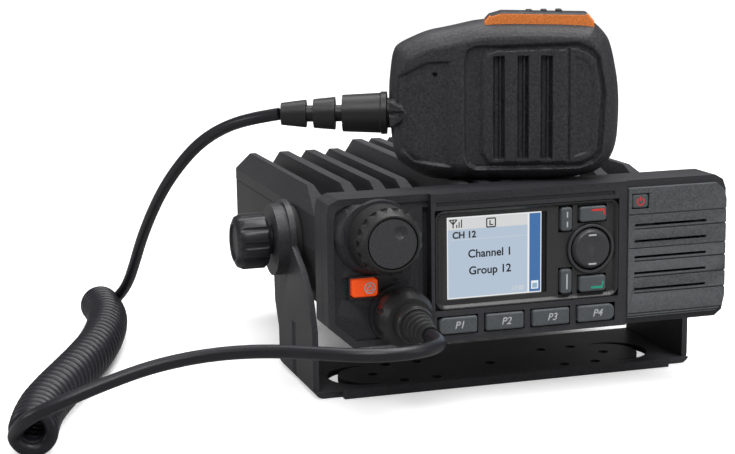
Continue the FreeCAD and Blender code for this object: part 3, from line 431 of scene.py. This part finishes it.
# ---------------------------------------------------------------- palm microphone
# Its own frame: across its face, back from its face, and up, in millimetres.
PALM_PLACE = Matrix.Translation(Vector((-2.5, -43, 88)) * MM) @ Matrix.Rotation(math.radians(-20), 4, "Z")
PALM_OUTLINE = [(-52.4, 36), (-50.6, 52.5), (-48.4, 55.8), (-36.5, 61), (-28, 62.4), (-12.4, 65.8),
                (30, 64.6), (33.6, 61.8), (38, 56.2), (41.9, 35.6), (40.8, 10), (29.6, 0), (-29, 0),
                (-37.5, 1.2), (-48.5, 7.6), (-50.9, 13.8)]
PALM_MIDDLE = np.array((-3.0, 31.0))
PALM_REACH = 47
PALM_SPLIT = 13
PALM_DEEP = 30
RIM_AT = [0, 0.5, 1.6, 3, 4.6, 6.2, 7.5]
RIM_BACK = [9.5, 7.2, 4.8, 2.9, 1.3, 0.3, 0]
HAND_PANEL = [(-27, 49.4), (-36, 49.2), (-48, 43.5), (-49.4, 30), (-47.3, 13.5), (-42, 8.6), (-27, 6.4)]
HAND_PANEL_SUNK = 1.3
SOUND_FIELD = [(-21.5, 49), (-20.5, 53.5), (-17.5, 55.6), (24.8, 56.6), (30.5, 54), (33.6, 50.4),
               (36.2, 35.7), (34.6, 11.6), (31.5, 7.6), (25.3, 5.3), (-17, 5.1), (-20.3, 7.6), (-21.5, 12)]
SOUND_FIELD_SUNK = 2.2
SOUND_PLATE = [(-13.6, 49), (-12, 52), (-8, 53.2), (24, 53.8), (28.6, 51.6), (31.2, 48.8), (33.3, 35.7),
               (31.9, 12.6), (29.5, 10), (24.6, 8), (-11, 8), (-13.6, 12)]
SOUND_PLATE_RAISED = 1.4
SOUND_SLOTS = [(-9.4, -5.2), (0.4, 4.4), (9.8, 14)]
SLOT_HEIGHTS = (9.6, 51)
SLOT_SUNK = 3.0
SLOT_BAR_RIGHT = 0.6
SLOT_BAR_HALF = 0.6
SLOT_BAR_RAISED = 1.3
SOUND_RIBS = [(-5.0, 0.2), (4.6, 9.6), (14.2, 19.6)]
RIB_HEIGHTS = (8.4, 53.6)
RIB_RAISED = 0.7
GROOVE = (20.5, 21.2)
GROOVE_HEIGHTS = (8, 54)
GROOVE_SUNK = 0.7
SIDE_PANEL = [(23.2, 50.8), (27.6, 49), (29.6, 46.2), (31, 35.7), (30, 14), (28, 11.6), (23.2, 10.4)]
SIDE_PANEL_SUNK = 0.5
BOOT_BOSS = [(-54, 33.5), (-50.5, 33.5), (-46.8, 31.4), (-45.2, 28.4), (-46.8, 25), (-50, 22.8),
             (-54, 22.8)]
BOSS_EDGE = -45
BOSS_FRONT = 0.5
BOSS_SLOPE = 0.27
BOSS_SLOT = (-52.4, -46)
BOSS_SLOT_HEIGHTS = (27.5, 29.1)
BOSS_SLOT_SUNK = 1.4
HOLE_AT = (-33, 44)
HOLE_RADII = (0.6, 1.0)
HOLE_SUNK = 2.0


def rounded(outline, share=0.42, steps=6):
    """A closed outline with each corner turned into a curve that starts part-way along its sides."""
    points = []
    count = len(outline)
    for n in range(count):
        corner = Vector(outline[n])
        start = corner.lerp(Vector(outline[n - 1]), share)
        end = corner.lerp(Vector(outline[(n + 1) % count]), share)
        for k in range(steps + 1):
            t = k / steps
            points.append((1 - t) ** 2 * start + 2 * t * (1 - t) * corner + t * t * end)
    return points


def evenly(points, count):
    """Points the same distance apart round a closed outline."""
    loop = np.array([tuple(p) for p in points] + [tuple(points[0])])
    run = np.concatenate([[0], np.cumsum(np.linalg.norm(np.diff(loop, axis=0), axis=1))])
    goal = np.linspace(0, run[-1], count, endpoint=False)
    return np.stack([np.interp(goal, run, loop[:, k]) for k in range(2)], axis=1)


def depth_inside(spots, outline):
    """How far spots lie inside a closed outline: negative outside it."""
    near = np.full(len(spots), 1e9)
    within = np.zeros(len(spots), bool)
    for a, b in zip(outline, outline[1:] + outline[:1]):
        a = np.array(a, float)
        b = np.array(b, float)
        side = b - a
        t = np.clip(((spots - a) @ side) / (side @ side), 0, 1)
        near = np.minimum(near, np.linalg.norm(spots - (a + t[:, None] * side), axis=1))
        crosses = (a[1] > spots[:, 1]) != (b[1] > spots[:, 1])
        if a[1] != b[1]:
            x = a[0] + (spots[:, 1] - a[1]) / (b[1] - a[1]) * (b[0] - a[0])
            within ^= crosses & (spots[:, 0] < x)
    return np.where(within, near, -near)


def step(value, low, high):
    t = np.clip((value - low) / (high - low), 0, 1)
    return t * t * (3 - 2 * t)


def band(value, low, high, soft):
    """One between low and high, with soft edges, and nought outside."""
    return step(value, low - soft / 2, low + soft / 2) * (1 - step(value, high - soft / 2, high + soft / 2))


def palm_face(spots, rim):
    """How far back the front shell's skin lies at each spot; rim is the distance from its outline."""
    back = np.interp(rim, RIM_AT, RIM_BACK)
    across, up = spots[:, 0], spots[:, 1]
    back = back + HAND_PANEL_SUNK * step(depth_inside(spots, HAND_PANEL), -0.3, 0.9)
    back = back + SOUND_FIELD_SUNK * step(depth_inside(spots, SOUND_FIELD), -0.2, 1.3)
    back = back - SOUND_PLATE_RAISED * step(depth_inside(spots, SOUND_PLATE), -1.6, 0.4)
    upright = band(up, *SLOT_HEIGHTS, 0.6)
    for left, right in SOUND_SLOTS:
        back = back + SLOT_SUNK * band(across, left, right, 0.5) * upright
        middle = (left + right) / 2 + SLOT_BAR_RIGHT
        bar = band(across, middle - SLOT_BAR_HALF, middle + SLOT_BAR_HALF, 0.6)
        back = back - SLOT_BAR_RAISED * bar * upright
    for left, right in SOUND_RIBS:
        back = back - RIB_RAISED * band(across, left, right, 0.5) * band(up, *RIB_HEIGHTS, 0.5)
    back = back + GROOVE_SUNK * band(across, *GROOVE, 0.4) * band(up, *GROOVE_HEIGHTS, 0.5)
    back = back + SIDE_PANEL_SUNK * step(depth_inside(spots, SIDE_PANEL), -0.2, 0.3)
    boss = step(depth_inside(spots, BOOT_BOSS), -0.4, 0.6)
    boss_back = np.minimum(back, BOSS_FRONT + BOSS_SLOPE * (BOSS_EDGE - across))
    back = back + boss * (boss_back - back)
    back = back + BOSS_SLOT_SUNK * band(across, *BOSS_SLOT, 0.4) * band(up, *BOSS_SLOT_HEIGHTS, 0.4)
    hole = np.hypot(across - HOLE_AT[0], up - HOLE_AT[1])
    return back + HOLE_SUNK * (1 - step(hole, *HOLE_RADII))


def skin(name, rings, centre, paint):
    """A skin of the microphone through rings of points, closed at the last ring's centre."""
    mesh = bpy.data.meshes.new(name)
    count = len(rings[0])
    verts = [PALM_PLACE @ (Vector(p) * MM) for ring in rings for p in ring]
    faces = []
    for n in range(len(rings) - 1):
        for k in range(count):
            nxt = (k + 1) % count
            faces.append((n * count + k, n * count + nxt, (n + 1) * count + nxt, (n + 1) * count + k))
    verts.append(PALM_PLACE @ (Vector(centre) * MM))
    last = (len(rings) - 1) * count
    faces += [(last + k, last + (k + 1) % count, len(verts) - 1) for k in range(count)]
    mesh.from_pydata([tuple(v) for v in verts], [], faces)
    mesh.validate()
    work = bmesh.new()
    work.from_mesh(mesh)
    bmesh.ops.recalc_face_normals(work, faces=work.faces)
    work.to_mesh(mesh)
    work.free()
    item = link_object(name, mesh)
    smooth(item, 50)
    return dress(item, "microphone", paint)


def shell_rings(border, layers):
    """The microphone's outline at each layer's depth, drawn in by the layer's inset."""
    rings = []
    for back, inset in layers:
        ring = PALM_MIDDLE + (border - PALM_MIDDLE) * (1 - inset / PALM_REACH)
        rings.append([(x, back, z) for x, z in ring])
    return rings


def make_microphone(paints):
    """The microphone's two shells, with the hand panel, the slotted sound plate and the parting line."""
    paint = paints["mic_plastic"]
    border = evenly(rounded(PALM_OUTLINE), 420)
    outline = [tuple(p) for p in border]
    steps_in = 96
    rings = shell_rings(border, [(PALM_SPLIT + 0.02, 1.2), (PALM_SPLIT - 0.02, 0.25),
                                 (PALM_SPLIT - 0.3, 0), (11.2, 0)])
    for n in range(steps_in):
        ring = PALM_MIDDLE + (border - PALM_MIDDLE) * (1 - n / steps_in)
        rim = depth_inside(ring, outline)
        back = palm_face(ring, np.maximum(rim, 0))
        rings.append([(x, b, z) for (x, z), b in zip(ring, back)])
    centre = palm_face(PALM_MIDDLE[None, :], np.array([30.0]))[0]
    front = skin("microphone_front", rings, (PALM_MIDDLE[0], centre, PALM_MIDDLE[1]), paint)
    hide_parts("microphone_front_shell", "microphone_grille")

    rings = shell_rings(border, [(PALM_SPLIT + 0.1, 1.2), (PALM_SPLIT + 0.12, 0.25), (PALM_SPLIT + 0.4, 0),
                                 (18, 0), (21, 0.6), (24, 1.8), (26.5, 3.6), (28.5, 6), (29.6, 8.6),
                                 (PALM_DEEP, 12)])
    rear = skin("microphone_rear", rings, (PALM_MIDDLE[0], PALM_DEEP, PALM_MIDDLE[1]), paint)
    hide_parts("microphone_rear_shell")


PTT_RIDGES_ABOVE = 67.4
PTT_TOP_ABOVE = 65.6
PTT_TOP_BEHIND = 7.5
PTT_TOP_FACES_UP = 0.35


def make_ptt(paints):
    """The push-to-talk button: its front band is orange, and its dark top carries three ridges."""
    item = crisp("ptt_button", 0.5, 3)
    item.data.materials.append(paints["mic_plastic"])
    to_palm = PALM_PLACE.inverted()
    for face in item.data.polygons:
        spot = to_palm @ face.center / MM
        on_top = spot.z > PTT_TOP_ABOVE and spot.y > PTT_TOP_BEHIND and face.normal.z > PTT_TOP_FACES_UP
        if on_top or spot.z > PTT_RIDGES_ABOVE:
            face.material_index = 1


# ---------------------------------------------------------------- flat signs and screen
HEAD_FRONT = -58
HEAD_LOW = 28


def plate(name, outline, front, thick, body, slot, paint):
    """A thin flat sign on the panel. The outline is in millimetres, across and above the head's foot."""
    mesh = bpy.data.meshes.new(name)
    work = bmesh.new()
    ring = [work.verts.new(Vector((x, front, HEAD_LOW + h)) * MM) for x, h in outline]
    face = work.faces.new(ring)
    pulled = bmesh.ops.extrude_face_region(work, geom=[face])
    moved = [v for v in pulled["geom"] if isinstance(v, bmesh.types.BMVert)]
    bmesh.ops.translate(work, verts=moved, vec=Vector((0, thick, 0)) * MM)
    bmesh.ops.recalc_face_normals(work, faces=work.faces)
    work.to_mesh(mesh)
    work.free()
    return dress(link_object(name, mesh), body, paint)


def stroke(points, width):
    """The outline of a line of one width through some points."""
    left, right = [], []
    for n, (x, h) in enumerate(points):
        before = Vector(points[max(0, n - 1)])
        after = Vector(points[min(len(points) - 1, n + 1)])
        along = (after - before).normalized()
        across = Vector((-along.y, along.x)) * width / 2
        if 0 < n < len(points) - 1:
            across *= 1.35
        left.append((x + across.x, h + across.y))
        right.append((x - across.x, h - across.y))
    return left + right[::-1]


def arc(x, h, radius, first, last, width, steps=24):
    """The outline of part of a ring, from one angle to another in degrees."""
    outer, inner = [], []
    for n in range(steps + 1):
        angle = math.radians(first + (last - first) * n / steps)
        for ring, r in ((outer, radius + width / 2), (inner, radius - width / 2)):
            ring.append((x + r * math.cos(angle), h + r * math.sin(angle)))
    return outer + inner[::-1]


def rectangle(left, right, low, high):
    return [(left, low), (right, low), (right, high), (left, high)]


def words(name, text, x, h, size, front, body, slot, paint, slant=0.0, anchor="CENTER", bold=0.0):
    """Generic lettering that faces the front."""
    data = bpy.data.curves.new(name, "FONT")
    data.body = text
    data.size = size * MM
    data.shear = slant
    data.offset = bold * MM
    data.extrude = 0.03 * MM
    data.align_x = anchor
    data.align_y = "CENTER"
    text_object = link_object(name + "_text", data)
    bpy.context.view_layer.update()
    mesh = bpy.data.meshes.new_from_object(text_object)
    bpy.data.objects.remove(text_object)
    mesh.name = name
    stand = Matrix.Translation(Vector((x, front, HEAD_LOW + h)) * MM) @ Matrix.Rotation(math.pi / 2, 4, "X")
    mesh.transform(stand)
    return dress(link_object(name, mesh), body, paint)


LIT_GLOW = 0.93
UNLIT_SHARE = 0.08


def lit(name, colour):
    """A patch of the lit display, which glows in its own colour."""
    mat = material(name, tuple(UNLIT_SHARE * c for c in colour), 0.3, cloud=0.01)
    shader = mat.node_tree.nodes["Principled BSDF"]
    shader.inputs["Emission Color"].default_value = (*colour, 1)
    shader.inputs["Emission Strength"].default_value = LIT_GLOW
    return mat


SIGN_THICK = 0.1
SCREEN_PLAY = 0.05
SCREEN_SHADE = 2.1
SCREEN_INSET = 0.45
STATUS_HIGH = 5
SCROLL_WIDE = 6
PAGE_LIFT = 0.04
MARK_LIFT = 0.06
INK_LINE = 0.5


def make_screen():
    """The lit display: a pale page with a status bar, two lines of text and a blue scroll bar."""
    page = lit("screen_page", (0.456, 0.546, 0.658))
    bar = lit("screen_bar", (0.66, 0.665, 0.67))
    edge = lit("screen_edge", (0.84, 0.85, 0.86))
    blue = lit("screen_blue", (0.053, 0.16, 0.39))
    pale = lit("screen_pale", (0.3, 0.42, 0.55))
    ink = material("screen_ink", (0.012, 0.013, 0.017), 0.5, cloud=0.01)
    grey = material("screen_grey", (0.05, 0.052, 0.06), 0.5, cloud=0.01)
    # Near black: the screen's black border, and painted shade of the recess at its right.
    black = material("screen_black_border_and_shade", (0.003, 0.003, 0.0035), 0.2)
    corner, far_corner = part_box("lcd_window")
    left = corner.x / MM + SCREEN_PLAY
    right = far_corner.x / MM - SCREEN_SHADE
    low = corner.z / MM - HEAD_LOW + SCREEN_PLAY
    high = far_corner.z / MM - HEAD_LOW - SCREEN_PLAY
    front = corner.y / MM + 0.1
    on_screen = {"body": "radio", "slot": "lcd_glass"}

    def patch(name, outline, paint, lift=MARK_LIFT, thick=SIGN_THICK):
        return plate(name, outline, front - lift, thick, paint=paint, **on_screen)

    def text(name, line, x, h, size, paint, **style):
        words(name, line, x, h, size, front - MARK_LIFT, paint=paint, **style, **on_screen)

    border = patch("screen_border", rectangle(left, right, low, high), edge, 0, 0.6)
    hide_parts("lcd_window")
    # A black strip right of the page: partly the screen's black border, partly painted shade of the recess
    # there.
    patch("screen_black_border_and_shade", rectangle(right + 0.02, right + SCREEN_SHADE - 0.05, low, high), black, -0.2, 0.5)
    page_left = left + SCREEN_INSET
    page_right = right - SCROLL_WIDE
    page_low = low + SCREEN_INSET
    status_low = high - STATUS_HIGH
    status_high = high - SCREEN_INSET
    patch("screen_page", rectangle(page_left, page_right, page_low, status_low), page, PAGE_LIFT)
    patch("screen_status", rectangle(page_left, page_right, status_low, status_high), bar, PAGE_LIFT)
    patch("screen_scroll", rectangle(right - 5.2, right - 0.4, page_low, status_high), blue, 0.07)
    patch("screen_scroll_mark", rectangle(right - 4.4, right - 1.3, low + 1.5, low + 4.9), edge, 0.09)
    patch("screen_scroll_page", rectangle(right - 3.9, right - 1.8, low + 1.9, low + 3.9), pale, 0.11)

    mast = left + 2.65
    foot = high - 4.3
    top = foot + 3.3
    fork = [(mast - 1.6, top), (mast, foot + 1.5), (mast + 1.6, top)]
    patch("screen_mast", stroke([(mast, foot), (mast, foot + 3.4)], INK_LINE), ink)
    patch("screen_mast_top", stroke(fork, INK_LINE), ink)
    patch("screen_mast_bar", stroke([fork[0], fork[-1]], 0.4), ink)
    for n in range(3):
        x = mast + 1.3 + n
        patch(f"screen_signal_{n}", rectangle(x, x + 0.45, foot, foot + 1.3 + n), ink)
    box_left = left + 16.9
    box_right = box_left + 3.7
    box_low = high - 4.8
    box_high = box_low + 3.5
    sides = [[(box_left, box_low), (box_right, box_low)], [(box_left, box_high), (box_right, box_high)],
             [(box_left, box_low), (box_left, box_high)], [(box_right, box_low), (box_right, box_high)]]
    for n, side in enumerate(sides):
        patch(f"screen_box_{n}", stroke(side, INK_LINE), ink)
    letter = [(box_left + 1.4, box_high - 0.8), (box_left + 1.4, box_low + 0.9),
              (box_right - 0.9, box_low + 0.9)]
    patch("screen_box_mark", stroke(letter, INK_LINE), ink)

    text("screen_title", "CH 12", left + 2.3, high - 7.4, 3.7, grey, anchor="LEFT", bold=0.14)
    patch("screen_rule", stroke([(left + 1, high - 9.2), (page_right - 0.3, high - 9.2)], 0.12), bar)
    text("screen_line_1", "Channel 1", left + 18.3, high - 15.3, 4.6, ink, bold=0.09)
    text("screen_line_2", "Group 12", left + 18.3, high - 22.2, 4.6, ink, bold=0.09)
    text("screen_clock", "12:00", page_right - 4.4, low + 2.4, 2.5, bar, slant=0.2)


SIGN_LIFT = 0.03
KNOB_FLOOR = HEAD_FRONT + 3.5
PANEL_FLOOR = HEAD_FRONT + 1.2
NARROW_KEY_DASH = (12.9, 13.5)
NAV_DASH = (22.2, 25.6)
NAV_DASH_HALF = 0.32
POWER_AT = (45.4, 51.4)
ALARM_AT = (-70.1, 24.2)
ALARM_RING = 2.1
ALARM_TRIANGLE = 1.6


def face_of(node):
    """Where a sign lies on the front of a piece, in millimetres."""
    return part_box(node)[0].y / MM - SIGN_LIFT


def make_signs():
    """The printed signs on the keys and beside them."""
    # Painted light: the printed signs glow, though they are no lamps.
    white = material("sign_white", (0.5, 0.52, 0.54), 0.5, cloud=0.04, glow_and_painted_light=0.15)
    red = material("sign_red", (0.6, 0.035, 0.03), 0.45, cloud=0.04, glow_and_painted_light=0.25)
    green = material("sign_green", (0.015, 0.34, 0.22), 0.45, cloud=0.04, glow_and_painted_light=0.2)
    dark = material("mark_dark", (0.05, 0.05, 0.053), 0.5)
    black = material("mark_black", (0.004, 0.004, 0.004), 0.5)
    for n in range(4):
        name = f"key_p{n + 1}"
        low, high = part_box(name)
        x = (low.x + high.x) / 2 / MM
        h = (low.z + high.z) / 2 / MM - HEAD_LOW
        words(name + "_legend", f"P{n + 1}", x + 0.4, h, 4.2, face_of(name), name, "key_slate", white,
              slant=0.25, bold=0.03)

    front = face_of("key_left_upper")
    end_call = stroke([(24, 49.2), (29.2, 49.2), (29.4, 47)], 0.8)
    call = stroke([(23.8, 17.1), (28.8, 17.1), (29.2, 19.5)], 0.8)
    for name, outline, body, paint in (
            ("upper_dash_1", rectangle(*NARROW_KEY_DASH, 46.9, 49.2), "key_left_upper", white),
            ("upper_dash_2", rectangle(*NARROW_KEY_DASH, 42.9, 45.2), "key_left_upper", white),
            ("lower_dash", rectangle(*NARROW_KEY_DASH, 17.3, 23.6), "key_left_lower", white),
            ("end_call_mark", end_call, "key_end_call", red),
            ("call_mark", call, "key_call", green)):
        plate(name, outline, front, SIGN_THICK, body, "key_slate", paint)
    for n, h in enumerate((39.1, 27.2)):
        dash = rectangle(*NAV_DASH, h - NAV_DASH_HALF, h + NAV_DASH_HALF)
        plate(f"nav_dash_{n}", dash, face_of("nav_rocker"), 0.3, "nav_rocker", "nav_plastic", white)

    front = face_of("power_button")
    x, h = POWER_AT
    power = {"body": "power_button", "slot": "key_slate", "paint": red}
    plate("power_ring", arc(x, h, 1.5, -235, 55, 0.5), front, SIGN_THICK, **power)
    plate("power_dash", stroke([(x, h + 0.2), (x, h + 2)], 0.5), front, SIGN_THICK, **power)

    front = face_of("emergency_button")
    x, h = ALARM_AT
    alarm = {"body": "emergency_button", "slot": "alarm_orange", "paint": white}
    plate("alarm_ring", arc(x, h, ALARM_RING, 0, 359.9, 0.5, 40), front, SIGN_THICK, **alarm)
    for n in range(3):
        turns = [math.radians(90 + 120 * (n + k)) for k in range(2)]
        ends = [(x + ALARM_TRIANGLE * math.cos(a), h - 0.15 + ALARM_TRIANGLE * math.sin(a)) for a in turns]
        plate(f"alarm_triangle_{n}", stroke(ends, 0.45), front, SIGN_THICK, **alarm)

    front = KNOB_FLOOR - SIGN_LIFT
    beside = {"body": "radio", "slot": "head_plastic"}
    arrow = [(-59.9, 26.8), (-57.7, 26.8), (-58.8, 24.9)]
    plate("socket_mark", arrow, front, SIGN_THICK, paint=black, **beside)
    plate("socket_bar", rectangle(-59.9, -57.7, 27.4, 27.7), front, SIGN_THICK, paint=dark, **beside)
    for n, h in enumerate((46.4, 20.4)):
        plate(f"panel_dash_{n}", rectangle(6.1, 9, h - 0.12, h + 0.12), PANEL_FLOOR - SIGN_LIFT, SIGN_THICK,
              "radio", "panel_plastic", dark)
    make_nut_mark(material("nut_red", (0.16, 0.006, 0.006), 0.4))


NUT_RADIUS = 11.35
NUT_MARK_TURN = math.radians(152)
NUT_MARK_BACK = 1.6
NUT_MARK_HALF = (1.1, 1.9)
NUT_MARK_RINGS = [(1.0, 0.0), (0.92, 0.16), (0.7, 0.26), (0.35, 0.3)]
NUT_MARK_SIDES = 20


def make_nut_mark(paint):
    """The red alignment mark on the side of the coupling nut: a low rounded lozenge."""
    low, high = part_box("plug_nut")
    out = Vector((math.cos(NUT_MARK_TURN), 0, math.sin(NUT_MARK_TURN)))
    round_it = Vector((-out.z, 0, out.x))
    along = Vector((0, 1, 0))
    base = (low + high) / 2 + out * (NUT_RADIUS * MM) + along * (NUT_MARK_BACK * MM)
    wide, long = NUT_MARK_HALF
    mesh = bpy.data.meshes.new("nut_mark")
    work = bmesh.new()
    loops = []
    for size, rise in NUT_MARK_RINGS:
        loop = []
        for k in range(NUT_MARK_SIDES):
            angle = 2 * math.pi * k / NUT_MARK_SIDES
            spot = base + (round_it * wide * math.cos(angle) + along * long * math.sin(angle)) * size * MM
            loop.append(work.verts.new(spot + out * rise * MM))
        loops.append(loop)
    for first, last in zip(loops, loops[1:]):
        for k in range(NUT_MARK_SIDES):
            nxt = (k + 1) % NUT_MARK_SIDES
            work.faces.new((first[k], first[nxt], last[nxt], last[k]))
    work.faces.new(loops[-1])
    work.faces.new(list(reversed(loops[0])))
    bmesh.ops.recalc_face_normals(work, faces=work.faces)
    work.to_mesh(mesh)
    work.free()
    item = link_object("nut_mark", mesh)
    smooth(item, 60)
    dress(item, "plug_nut", paint)


# ---------------------------------------------------------------- stage
# Each lamp's place and size in metres, and its power in watts. They all face the object's middle.
LAMPS = {
    "key_light": ((-0.45, -0.9, 1.1), (0.6, 0.5), 6),
    "fill_light": ((0.9, -0.9, 0.5), (0.7, 0.7), 2),
    "top_light": ((0.1, 0.45, 1.3), (1.0, 0.6), 7),
    "crown_light": ((0.36, -0.22, 1.25), (0.9, 0.5), 7),
    "left_strip": ((-1.1, 0.1, 0.4), (0.5, 0.25), 1.6),
}
LAMP_TARGET = Vector((0, 0, 0.06))
SKY_POWER = 1.3
SKY_SPREAD = math.radians(70)
SKY_TURN = (math.radians(12), math.radians(8), 0)


def soft_light(name, at, size, power):
    data = bpy.data.lights.new(name, "AREA")
    data.shape = "RECTANGLE"
    data.size, data.size_y = size
    data.energy = power
    lamp = link_object(name, data)
    lamp.location = at
    aim = LAMP_TARGET - Vector(at)
    lamp.rotation_euler = aim.to_track_quat("-Z", "Y").to_euler()


def make_sky():
    data = bpy.data.lights.new("sky", "SUN")
    data.energy = SKY_POWER
    data.angle = SKY_SPREAD
    link_object("sky", data).rotation_euler = SKY_TURN


FLOOR_HALF = 4
FLOOR_DROP = 0.0002
FLOOR_SEEN = 0.85
FLOOR_THROWS = 0.3
FLOOR_GLOW = 0.52
# The painted shade on the floor close under things: its reach, its range of occlusion, and where it stops
# towards the front.
FLOOR_SHADE_REACH = 0.06
FLOOR_SHADE_RANGE = (0.3, 0.5)
SHADE_BEHIND = 0.034
SHADE_SOFTNESS = 0.003


def matt(tree, grey):
    """A matt white or grey surface."""
    node = tree.nodes.new("ShaderNodeBsdfDiffuse")
    node.inputs["Color"].default_value = (grey, grey, grey, 1)
    return node.outputs["BSDF"]


def floor_glow_with_painted_shade(tree):
    """The paper's own light; close under things, and only behind the bracket's base, it fades out as a
    painted shade.
    """
    near = tree.nodes.new("ShaderNodeAmbientOcclusion")
    near.inputs["Distance"].default_value = FLOOR_SHADE_REACH
    place = tree.nodes.new("ShaderNodeNewGeometry")
    parts = tree.nodes.new("ShaderNodeSeparateXYZ")
    painted_shade_mask = tree.nodes.new("ShaderNodeMath")
    painted_shade_mask.operation = "MAXIMUM"
    full = tree.nodes.new("ShaderNodeMath")
    full.operation = "MULTIPLY"
    full.inputs[1].default_value = FLOOR_GLOW
    glow_and_painted_light = tree.nodes.new("ShaderNodeEmission")
    link = tree.links.new
    link(place.outputs["Position"], parts.inputs["Vector"])
    # Painted shade: the floor's glow fades where the occlusion finds things close above it.
    outside_painted_shade = map_range(tree, near.outputs["AO"], FLOOR_SHADE_RANGE)
    ahead_of_painted_shade = map_range(tree, parts.outputs["Y"], (SHADE_BEHIND, SHADE_BEHIND - SHADE_SOFTNESS))
    link(outside_painted_shade, painted_shade_mask.inputs[0])
    link(ahead_of_painted_shade, painted_shade_mask.inputs[1])
    link(painted_shade_mask.outputs["Value"], full.inputs[0])
    link(full.outputs["Value"], glow_and_painted_light.inputs["Strength"])
    return glow_and_painted_light.outputs["Emission"]


def floor_finish():
    """White paper. It is seen at full brightness but for a painted shade close under things, and throws only
    a little light back up.
    """
    mat = bpy.data.materials.new("floor_paper")
    mat.use_nodes = True
    tree = mat.node_tree
    tree.nodes.clear()
    both = tree.nodes.new("ShaderNodeAddShader")
    path = tree.nodes.new("ShaderNodeLightPath")
    mix = tree.nodes.new("ShaderNodeMixShader")
    out = tree.nodes.new("ShaderNodeOutputMaterial")
    link = tree.links.new
    link(matt(tree, FLOOR_SEEN), both.inputs[0])
    link(floor_glow_with_painted_shade(tree), both.inputs[1])
    link(path.outputs["Is Camera Ray"], mix.inputs["Fac"])
    link(matt(tree, FLOOR_THROWS), mix.inputs[1])
    link(both.outputs["Shader"], mix.inputs[2])
    link(mix.outputs["Shader"], out.inputs["Surface"])
    return mat


def make_floor():
    data = bpy.data.meshes.new("floor")
    work = bmesh.new()
    bmesh.ops.create_grid(work, x_segments=1, y_segments=1, size=FLOOR_HALF)
    work.to_mesh(data)
    work.free()
    floor = link_object("floor", data)
    floor.location.z = -FLOOR_DROP
    floor.data.materials.append(floor_finish())


def make_stage():
    make_floor()
    make_world()
    for name, (at, size, power) in LAMPS.items():
        soft_light(name, at, size, power)
    make_sky()


WORLD_SEEN = 1.0
WORLD_LIGHTS = 0.16


def make_world():
    """A white surround to look at, and a dimmer one to light the scene, so that black stays black."""
    world = bpy.data.worlds.new("studio")
    world.use_nodes = True
    tree = world.node_tree
    tree.nodes.clear()
    seen = tree.nodes.new("ShaderNodeBackground")
    seen.inputs["Strength"].default_value = WORLD_SEEN
    around = tree.nodes.new("ShaderNodeBackground")
    around.inputs["Strength"].default_value = WORLD_LIGHTS
    for back in (seen, around):
        back.inputs["Color"].default_value = (1, 1, 1, 1)
    path = tree.nodes.new("ShaderNodeLightPath")
    mix = tree.nodes.new("ShaderNodeMixShader")
    out = tree.nodes.new("ShaderNodeOutputWorld")
    tree.links.new(path.outputs["Is Camera Ray"], mix.inputs["Fac"])
    tree.links.new(around.outputs["Background"], mix.inputs[1])
    tree.links.new(seen.outputs["Background"], mix.inputs[2])
    tree.links.new(mix.outputs["Shader"], out.inputs["Surface"])
    bpy.context.scene.world = world
    bpy.context.scene.view_settings.view_transform = "Standard"


def main():
    paints = finishes()
    make_camera()
    paint_nodes(paints)
    make_cord(paints)
    for node, width in SOFT_EDGES.items():
        crisp(node, width)
    make_microphone(paints)
    make_ptt(paints)
    make_screen()
    make_signs()
    make_stage()
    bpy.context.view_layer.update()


main()
